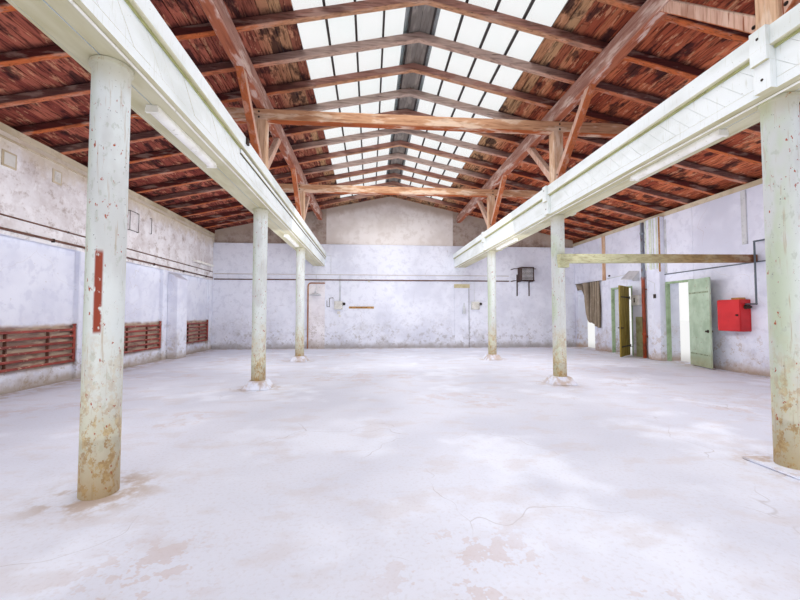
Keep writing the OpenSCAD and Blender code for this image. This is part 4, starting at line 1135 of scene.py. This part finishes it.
def back_wall_fittings():
    """The traces of old services and a bricked-up doorway on the back wall."""
    wall = BACK_Y
    bend, pipe_y = 0.13, wall - 0.03
    elbow = [(-3.86 - bend * math.cos(0.4 * k), pipe_y, 2.82 + bend * math.sin(0.4 * k)) for k in range(5)]
    old_pipe = [(-3.99, pipe_y, FLOOR_Z)] + elbow + [(-3.28, pipe_y, 2.95)]
    tubes("old_door_pipe", "brown_pipe", [(0.028, old_pipe)], OCHRE_PAINT)
    patch = ((-3.95, wall - 0.012, FLOOR_Z), (-3.28, wall, 2.9))
    trim("bricked_door", "masonry_wall", [patch], PATCH_PLASTER)
    shade = [(0, 0.19), (0.01, 0.25), (0.03, 0.255), (0.08, 0.14), (0.11, 0.06), (0.14, 0.03),
             (0.18, 0.025)]
    turned("wall_dish_lamp", "lamp_body", [((-3.65, wall - 0.29, 2.40), (0, 0, 1), shade)], PALE_METAL)
    runs = [(0.009, [(-3.65, wall - 0.29, 2.55), (-3.65, wall - 0.29, 2.68), (-3.65, wall - 0.02, 2.72)])]
    runs += [(0.009, [(-3.65, wall - 0.012, 2.68), (-3.65, wall - 0.012, 3.3)])]
    runs += [(0.011, [(x, wall - 0.013, 2.17), (x, wall - 0.013, 3.3)]) for x in (-2.66, -2.61)]
    runs += [(0.008, [(-3.2, wall - 0.01, 4.16), (-3.03, wall - 0.01, 4.16), (-3.03, wall - 0.01, 3.34)])]
    runs += [(0.010, [(3.27, wall - 0.013, 2.17), (3.27, wall - 0.013, 3.07)])]
    tubes("back_conduits", "switch_box", runs, PALE_METAL)
    hook = [(-3.19, 2.2), (-3.19, 1.95), (-3.08, 1.93), (-3.08, 2.3), (-2.93, 2.33), (-2.93, 2.27)]
    tubes("wall_hook", "rusty_iron", [(0.009, [(x, wall - 0.009, z) for x, z in hook])])
    knob = [(0, 0.05), (0.02, 0.062), (0.05, 0.058), (0.07, 0.03)]
    forms = [((-2.46, wall, 2.06), (0, -1, 0), knob), ((3.56, wall, 2.07), (0, -1, 0), knob)]
    turned("wall_knobs", "rusty_iron", forms)
    bell = [(0, 0.075), (0.015, 0.085), (0.05, 0.07), (0.07, 0.062), (0.26, 0.055), (0.31, 0.05),
            (0.36, 0.028), (0.46, 0.022), (0.47, 0.012)]
    turned("wall_bell", "heater_metal", [((2.78, wall - 0.13, 1.64), (0, 0, 1), bell)], PALE_METAL)
    trim("bell_holder", "heater_metal", [((2.75, wall - 0.1, 1.8), (2.81, wall - 0.03, 1.86))], PALE_METAL)
    trim("coat_rail", "frame_timber", [((-2.25, wall - 0.028, 1.86), (-1.17, wall, 1.95))], OLD_WOOD)
    peg = [(0, 0.011), (0.05, 0.009), (0.055, 0.016), (0.07, 0.014)]
    pegs = [((-2.15 + 0.22 * k, wall - 0.028, 1.9), (0, -1, 0.25), peg) for k in range(5)]
    turned("coat_pegs", "rusty_iron", pegs)
    sockets = [((-2.74, wall - 0.05, 1.62), (-2.62, wall, 1.74)),
               ((-2.68, wall - 0.04, 1.49), (-2.60, wall, 1.58)),
               ((-1.44, wall - 0.04, 3.0), (-1.34, wall, 3.08))]
    trim("wall_sockets", "switch_box", sockets)
    low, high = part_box("blocked_door")
    # Painted shadow: a dark strip along the right edge of the bricked-up doorway
    gap = ((high.x - 0.045, wall - 0.03, FLOOR_Z), (high.x - 0.03, wall, 2.77))
    trim("door_gap_shadow", "rusty_iron", [gap], ease=0.001)
    lintel = ((low.x + 0.004, low.y - 0.004, 2.775), (high.x - 0.004, low.y + 0.01, high.z - 0.004))
    trim("door_lintel_face", "painted_timber", [lintel], LINTEL_PAINT)


LID_RIM, LID_T = 0.012, 0.012


def switch_boxes():
    """Lids, screws and handles on the switch boxes."""
    softened("switch_boxes", 0.008)
    lids, screws, handles = [], [], []
    for corners in solids("switch_boxes"):
        low, high = corner_box(corners)
        if high.y > BACK_Y - 0.02:
            left, right = low.x + LID_RIM, high.x - LID_RIM
            lids.append(((left, low.y - LID_T, low.z + LID_RIM), (right, low.y, high.z - 0.09)))
            lids.append(((left, low.y - 0.008, high.z - 0.08), (right, low.y, high.z - LID_RIM)))
            for x in (low.x + 0.035, high.x - 0.035):
                for z in (low.z + 0.035, high.z - 0.12):
                    screws.append(((x, low.y - LID_T, z), (0, -1, 0), bolt_head(SMALL_BOLT)))
            handles.append(((high.x, low.y + 0.05, low.z + 0.16),
                            (high.x + 0.03, low.y + 0.08, low.z + 0.3)))
        else:
            lids.append(((low.x - LID_T, low.y + LID_RIM, low.z + LID_RIM),
                         (low.x, high.y - LID_RIM, high.z - LID_RIM)))
            handles.append(((low.x - 0.04, low.y + 0.15, low.z + 0.1),
                            (low.x - LID_T, low.y + 0.18, low.z + 0.25)))
    trim("switch_box_lids", "switch_box", lids)
    turned("switch_box_screws", "rusty_iron", screws)
    trim("switch_box_handles", "rusty_iron", handles)


HEATER_W, HEATER_H, HEATER_BAR = 0.59, 0.61, 0.04
SLAT_PITCH, SLAT_COUNT = 0.056, 9
CASE_RIM, CASE_RIM_T = 0.04, 0.02


def air_heater():
    """Louvres, a case rim, a collar and cross bars on the air heater."""
    softened("air_heater")
    low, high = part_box("air_heater")
    z0, x0, front = high.z - HEATER_H, high.x - HEATER_W, low.y + HEATER_BAR
    slats = [((x0 + 0.05, front - 0.014, z0 + 0.06 + SLAT_PITCH * k),
              (high.x - 0.05, front + 0.01, z0 + 0.08 + SLAT_PITCH * k)) for k in range(SLAT_COUNT)]
    trim("heater_louvres", "heater_metal", slats, PALE_METAL, ease=0.003)
    rim = [((x0, front - CASE_RIM_T, z0), (x0 + CASE_RIM, front, high.z)),
           ((high.x - CASE_RIM, front - CASE_RIM_T, z0), (high.x, front, high.z)),
           ((x0, front - CASE_RIM_T, z0), (high.x, front, z0 + CASE_RIM)),
           ((x0, front - CASE_RIM_T, high.z - CASE_RIM), (high.x, front, high.z)),
           ((x0 - 0.3, front + 0.03, high.z - 0.09), (high.x + 0.1, front + 0.06, high.z - 0.06)),
           ((x0 - 0.3, front + 0.03, z0 - 0.01), (high.x + 0.06, front + 0.06, z0 + 0.02)),
           ((x0 - 0.3, front + 0.03, z0 - 0.01), (x0 - 0.27, BACK_Y, z0 + 0.02)),
           ((x0 - 0.3, front + 0.03, high.z - 0.09), (x0 - 0.27, BACK_Y, high.z - 0.06))]
    trim("heater_rim", "heater_metal", rim, ease=0.003)


def cabinet_details():
    """A lid with its handle, the hose fitting on the near side and a wood block on top."""
    softened("fire_cabinet", 0.01)
    low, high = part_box("fire_cabinet")
    lid = ((low.x - 0.016, low.y + 0.012, low.z + 0.012), (low.x, high.y - 0.012, high.z - 0.012))
    trim("cabinet_lid", "fire_red", [lid], ease=0.006)
    knob = [(0, 0.024), (0.012, 0.024), (0.02, 0.014), (0.035, 0.022), (0.045, 0.018)]
    turned("cabinet_handle", "rusty_iron", [((low.x - 0.016, low.y + 0.06, low.z + 0.4), (-1, 0, 0), knob)])
    fitting = [(0, 0.055), (0.015, 0.055), (0.015, 0.038), (0.06, 0.034), (0.075, 0.045), (0.1, 0.045),
               (0.1, 0.026), (0.14, 0.026)]
    turned("cabinet_fitting", "rusty_iron", [((RIGHT_X - 0.15, low.y, low.z + 0.6), (0, -1, 0), fitting)])
    block = ((low.x + 0.06, low.y + 0.05, high.z), (low.x + 0.2, low.y + 0.28, high.z + 0.045))
    trim("cabinet_block", "frame_timber", [block], OLD_WOOD)


HOOD_T = 0.012
DOWNPIPE_COLLARS_Z = (0.9, 2.78, 4.3)


def right_wall_fittings():
    """Ribs on the tall pilaster, a casing, a hood, conduits, a switch, a dado and pipe collars."""
    x = RIGHT_X
    low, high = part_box("right_pilaster")
    face = low.x
    ribs = [(0.0, 0.03, 0.03), (0.17, 0.10, 0.022), (0.34, 0.02, 0.03), (0.46, 0.05, 0.02)]
    boards = [((face - deep, high.y - at - width, FLOOR_Z + 2.9), (face, high.y - at, high.z - 0.02))
              for at, width, deep in ribs]
    trim("pilaster_ribs", "painted_timber", boards, RIB_PAINT)
    edge = ((face - 0.006, low.y - 0.006, FLOOR_Z + 2.8), (face + 0.05, low.y, high.z - 0.02))
    trim("pilaster_edge", "frame_timber", [edge], OLD_WOOD)
    trim("wall_casing", "painted_timber", [((x - 0.035, 3.02, 3.34), (x, 3.14, 4.68)),
                                           ((x - 0.012, 5.56, 2.9), (x, 5.64, 4.6))], PALE_METAL)
    runs = [(0.014, [(x - 0.014, 8.56, 3.0), (x - 0.014, 7.04, 3.066)])]
    runs += [(0.007, [(face - 0.007, 5.84, 2.2), (face - 0.007, 5.84, 2.6), (face - 0.007, 6.16, 2.74)])]
    tubes("right_conduits", "switch_box", runs, PALE_METAL)
    ring = [(0, 0.02), (0.03, 0.02), (0.035, 0.04), (0.05, 0.04), (0.055, 0.015)]
    turned("wall_ring", "rusty_iron", [((x, 8.37, 3.1), (-1, 0, 0), ring)])
    trim("wall_switch", "rusty_iron", [((face - 0.035, 5.8, 2.12), (face, 5.88, 2.25))])
    mesh = bmesh.new()
    plate = [(x, 6.78, 3.1), (x, 7.3, 3.16), (x - 0.3, 7.34, 2.86), (x - 0.28, 6.76, 2.8)]
    cheek = [(x, 6.78, 2.78), (x - 0.25, 6.76, 2.76), (x - 0.28, 6.76, 2.8), (x, 6.78, 3.1)]
    for outline, thick in ((plate, (0, 0, HOOD_T)), (cheek, (0, HOOD_T, 0))):
        corners = [Vector(p) for p in outline]
        add_block(mesh, corners + [p + Vector(thick) for p in corners])
    finish_mesh("door_hood", mesh, "sheet_metal", finish=PALE_METAL, smooth=0)
    trim("wall_dado", "painted_timber", [((x - 0.018, 6.62, FLOOR_Z), (x, 6.99, 1.52))], DADO_PAINT)
    pipe_low, pipe_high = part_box("downpipe")
    radius = (pipe_high.y - pipe_low.y) / 2
    collar = [(0, radius + 0.002), (0.01, radius + 0.012), (0.06, radius + 0.014), (0.08, radius + 0.008),
              (0.085, radius + 0.002)]
    centre = (pipe_low.x + radius, pipe_low.y + radius)
    forms = [((*centre, z), (0, 0, 1), collar) for z in DOWNPIPE_COLLARS_Z]
    turned("downpipe_collars", "brown_pipe", forms, DOWNPIPE_PAINT)


LEAF_T, STRAP_T, STRAP_HALF = 0.042, 0.008, 0.0225
STRAPS_ABOVE = (0.33, 2.02)
KNUCKLE_R, PIN_HOLE_R, KNUCKLE_HALF = 0.0143, 0.0083, 0.045
LOCK_Z = 1.15
RIM_BOARD = 0.05
PLANK_GAP = 0.004
STRAP_BOLTS_AT = (0.1, 0.35, 0.6, 0.85)


def door_leaf(name, finish, boards, strap_finish=None, rim=0.0):
    """A boarded leaf with its ironwork, made shut and then swung as the CAD leaf is."""
    joint = next(j for j in RECORD["behaviour"]["joints"] if j["child"] == name)
    pivot = Vector(joint["pos_m"])
    angle = math.radians(-joint["range_deg"][0])
    swing = Matrix.Translation(pivot) @ Matrix.Rotation(angle, 4, "Z") @ Matrix.Translation(-pivot)
    low, high = corner_box([swing.inverted() @ p for s in solids(name) for p in s])
    back = high.x - STRAP_T
    front = back - LEAF_T
    width = high.y - pivot.y
    chance = random.Random(boards)
    planks = []
    for k in range(boards):
        sink = chance.uniform(0, 0.002)
        gap = PLANK_GAP if k + 1 < boards else 0
        planks.append(((front + rim + sink, pivot.y + width * k / boards, low.z),
                       (back - sink, pivot.y + width * (k + 1) / boards - gap, high.z)))
    if rim:
        behind = front + rim + 0.002
        planks += [((front, pivot.y, low.z), (behind, pivot.y + RIM_BOARD, high.z)),
                   ((front, high.y - RIM_BOARD, low.z), (behind, high.y, high.z)),
                   ((front, pivot.y, low.z), (behind, high.y, low.z + RIM_BOARD)),
                   ((front, pivot.y, high.z - RIM_BOARD), (behind, high.y, high.z))]
    trim(name + "_boards", SLOTS[name], planks, finish, 0.003, name, swing, [name])
    straps = [low.z + z for z in STRAPS_ABOVE]
    bands = [((front - STRAP_T, pivot.y + 0.012, z - STRAP_HALF),
              (front + rim, pivot.y + width * 0.9, z + STRAP_HALF)) for z in straps]
    bands += [((back, pivot.y + 0.035, z - STRAP_HALF),
               (back + STRAP_T, high.y - 0.035, z + STRAP_HALF)) for z in straps]
    trim(name + "_straps", "rusty_iron", bands, strap_finish, 0.002, name, swing)
    sleeve = [(-KNUCKLE_HALF, KNUCKLE_R), (KNUCKLE_HALF, KNUCKLE_R), (KNUCKLE_HALF, PIN_HOLE_R),
              (-KNUCKLE_HALF, PIN_HOLE_R)]
    forms = [((pivot.x, pivot.y, z), (0, 0, 1), sleeve, True) for z in straps]
    for z in straps:
        for share in STRAP_BOLTS_AT:
            y = pivot.y + width * share
            forms.append(((front - STRAP_T, y, z), (-1, 0, 0), bolt_head(SMALL_BOLT)))
            forms.append(((back + STRAP_T, y, z), (1, 0, 0), bolt_head(SMALL_BOLT)))
    turned(name + "_bolts", "rusty_iron", forms, None, name, swing)
    knob = [(0, 0.045), (0.008, 0.045), (0.012, 0.02), (0.04, 0.012), (0.045, 0.026), (0.06, 0.024)]
    lock_y = high.y - 0.09
    locks = [((front, lock_y, LOCK_Z), (-1, 0, 0), knob), ((back, lock_y, LOCK_Z), (1, 0, 0), knob)]
    turned(name + "_lock", "rusty_iron", locks, None, name, swing)


CURTAIN_LENGTH = 1.95
GATHERED_SHARE = 0.72
GATHERED_TO = 0.40
CURTAIN_FOLDS = 6
FOLD_DEPTH = 0.055
SWAG_DROP = 0.30
CURTAIN_COLUMNS, CURTAIN_ROWS = 182, 44
CLOTH_T = 0.0025


def curtain():
    """A cloth gathered at the near end of its rail, its far part pulled along over the doorway."""
    low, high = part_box("curtain_rail")
    rail_z = (low.z + high.z) / 2
    hang_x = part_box("door_1_curtain")[0].x + 0.055
    near, far = low.y + 0.06, high.y - 0.06
    columns, rows = CURTAIN_COLUMNS, CURTAIN_ROWS
    grid = []
    for i in range(columns + 1):
        s = i / columns
        gathered = min(s / GATHERED_SHARE, 1)
        pulled = max(0.0, (s - GATHERED_SHARE) / (1 - GATHERED_SHARE))
        ease = pulled * pulled * (3 - 2 * pulled)
        y_top = near + (far - near) * (GATHERED_TO * gathered + (1 - GATHERED_TO) * pulled)
        full = CURTAIN_LENGTH * (0.97 - 0.10 * gathered + 0.02 * math.sin(9 * s))
        drop = SWAG_DROP + (full - SWAG_DROP) * (1 - min(1, 1.5 * ease)) ** 1.4
        phase = 2 * math.pi * CURTAIN_FOLDS * s
        line = []
        for j in range(rows + 1):
            t = j / rows
            depth = FOLD_DEPTH * (0.35 + 0.65 * min(1, 3 * t)) * (1 - 0.7 * ease)
            drift = 1.1 * math.sin(2.6 * t + 5 * s) + 0.7 * t
            fold = math.sin(phase + drift) + 0.25 * math.sin(2.3 * phase + 4 * t)
            ripple = 0.01 * noise.noise(Vector((6 * s, 3 * t, 1.7)))
            x = min(hang_x + depth * fold / 1.25 + ripple, RIGHT_X - 0.012)
            lean = -0.06 * math.sin(math.pi * min(1, 1.3 * t)) * gathered * (1 - pulled) - 0.08 * t * ease
            y = y_top + 0.016 * math.cos(phase + drift) * (1 - ease) + lean
            line.append(Vector((x, y, rail_z + 0.014 - drop * t)))
        grid.append(line)
    mesh = bmesh.new()
    verts = [[mesh.verts.new(p) for p in line] for line in grid]
    for i in range(columns):
        for j in range(rows):
            mesh.faces.new((verts[i][j], verts[i + 1][j], verts[i + 1][j + 1], verts[i][j + 1]))
    area = sum(f.calc_area() for f in mesh.faces)
    piece = finish_mesh("door_curtain", mesh, "curtain_cloth", replaces=["door_1_curtain"], smooth=80)
    sides = piece.modifiers.new("cloth", "SOLIDIFY")
    sides.thickness = CLOTH_T


def carried_over():
    """Gives every CAD node that is still shown its finish."""
    for name, piece in NODES.items():
        if piece.hide_render:
            continue
        piece.data.materials.clear()
        piece.data.materials.append(FINISHES[SLOTS[name]])


GROUND_HALF, GROUND_DROP = 90, 0.002
CAMERA_NEAR, CAMERA_FAR = 0.05, 300


def surroundings():
    """A plain pale floor outside and an even white sky."""
    world = bpy.data.worlds.new("sky")
    bpy.context.scene.world = world
    world.use_nodes = True
    tree = world.node_tree
    path = tree.nodes.new("ShaderNodeLightPath")
    seen = path.outputs["Is Camera Ray"]
    for ray in ("Is Glossy Ray", "Is Transmission Ray"):
        both = tree.nodes.new("ShaderNodeMath")
        both.operation = "MAXIMUM"
        tree.links.new(seen, both.inputs[0])
        tree.links.new(path.outputs[ray], both.inputs[1])
        seen = both.outputs[0]
    level = tree.nodes.new("ShaderNodeMapRange")
    level.inputs["To Min"].default_value = OPEN_SKY
    level.inputs["To Max"].default_value = 1.0
    tree.links.new(seen, level.inputs["Value"])
    back = tree.nodes["Background"]
    back.inputs["Color"].default_value = (1, 1, 1, 1)
    tree.links.new(level.outputs[0], back.inputs["Strength"])
    mesh = bmesh.new()
    bmesh.ops.create_grid(mesh, x_segments=1, y_segments=1, size=GROUND_HALF)
    data = bpy.data.meshes.new("ground")
    mesh.to_mesh(data)
    mesh.free()
    ground = bpy.data.objects.new("ground", data)
    ground.location.z = -GROUND_DROP
    bpy.context.scene.collection.objects.link(ground)
    data.materials.append(Finish("ground", roughness=0.9).paint("#ececec"))


def add_lamp(name, kind, place, power, aim=(0, 0, 0), **settings):
    """A lamp that neither the camera nor a gloss sees. Its aim is in degrees."""
    data = bpy.data.lights.new(name, kind)
    data.energy = power
    for key, value in settings.items():
        setattr(data, key, value)
    lamp = bpy.data.objects.new(name, data)
    lamp.location = place
    lamp.rotation_euler = [math.radians(a) for a in aim]
    lamp.visible_camera = False
    lamp.visible_glossy = False
    bpy.context.scene.collection.objects.link(lamp)


def add_glow(name, place, power, aim, width, length, spread=180):
    """A soft panel of light inside the hall."""
    add_lamp(name, "AREA", place, power, aim, shape="RECTANGLE", size=width, size_y=length,
             spread=math.radians(spread))


def lamps():
    """Light from the skylight, glows towards floor, walls, aisles and columns, and a soft sun."""
    add_glow("skylight_light", (RIDGE_X, 0, 6.1), SKYLIGHT_POWER, (0, 0, 0), 3.4, 20)
    add_glow("floor_glow", (0, 0, 0.6), FLOOR_GLOW_POWER, (180, 0, 0), 14, 20)
    add_glow("left_glow", (0.2, 0, 2.6), SIDE_GLOW_POWER, (0, 90, 0), 2.6, 19)
    add_glow("right_glow", (-1.1, 0, 2.6), SIDE_GLOW_POWER, (0, -90, 0), 2.6, 19)
    add_glow("back_glow", (0, 4.0, 3.0), BACK_GLOW_POWER, (90, 0, 0), 12, 3)
    add_glow("front_glow", (-0.45, -9.5, 1.9), FRONT_GLOW_POWER, (82, 0, 0), 12, 2.4, FRONT_GLOW_SPREAD)
    add_glow("left_aisle_glow", (-3.9, 0, 3.4), LEFT_AISLE_POWER, (0, 62, 0), 0.8, 19)
    add_glow("right_aisle_glow", (2.95, 0, 3.4), RIGHT_AISLE_POWER, (0, -62, 0), 0.8, 19)
    add_lamp("sun", "SUN", (-20, -30, 40), SUN, (38, 0, -35), angle=math.radians(25))


def camera():
    """The camera at the viewpoint of the photo."""
    data = bpy.data.cameras.new("camera")
    data.lens = CAMERA_LENS
    data.sensor_width = SENSOR_WIDTH
    data.sensor_fit = "HORIZONTAL"
    data.clip_start = CAMERA_NEAR
    data.clip_end = CAMERA_FAR
    eye = bpy.data.objects.new("camera", data)
    eye.location = CAMERA_AT
    eye.rotation_euler = (math.radians(CAMERA_TILT), 0, math.radians(CAMERA_TURN))
    bpy.context.scene.collection.objects.link(eye)
    bpy.context.scene.camera = eye


bpy.context.scene.view_settings.view_transform = "Standard"
camera()
surroundings()
lamps()
masonry()
softened("columns", smooth=35)
for node in ("pipe_registers", "wall_pipes", "curtain_rail", "door_pintles"):
    rounded(node)
rounded("downpipe", DOWNPIPE_PAINT)
girder_boards()
girder_chords()
girder_stiffeners()
girder_trim()
girder_lamps()
softened("cross_beam", 0.006, cross_beam_finish())
roof_boards()
roof_felt()
frame_timbers()
frame_ironwork()
left_wall_fittings()
back_wall_fittings()
switch_boxes()
air_heater()
cabinet_details()
right_wall_fittings()
door_leaf("door_2_leaf", FINISHES["door_leaf_olive"], 4)
door_leaf("door_3_leaf", FINISHES["door_leaf_green"], 1, STRAP_PAINT, rim=0.003)
curtain()
carried_over()
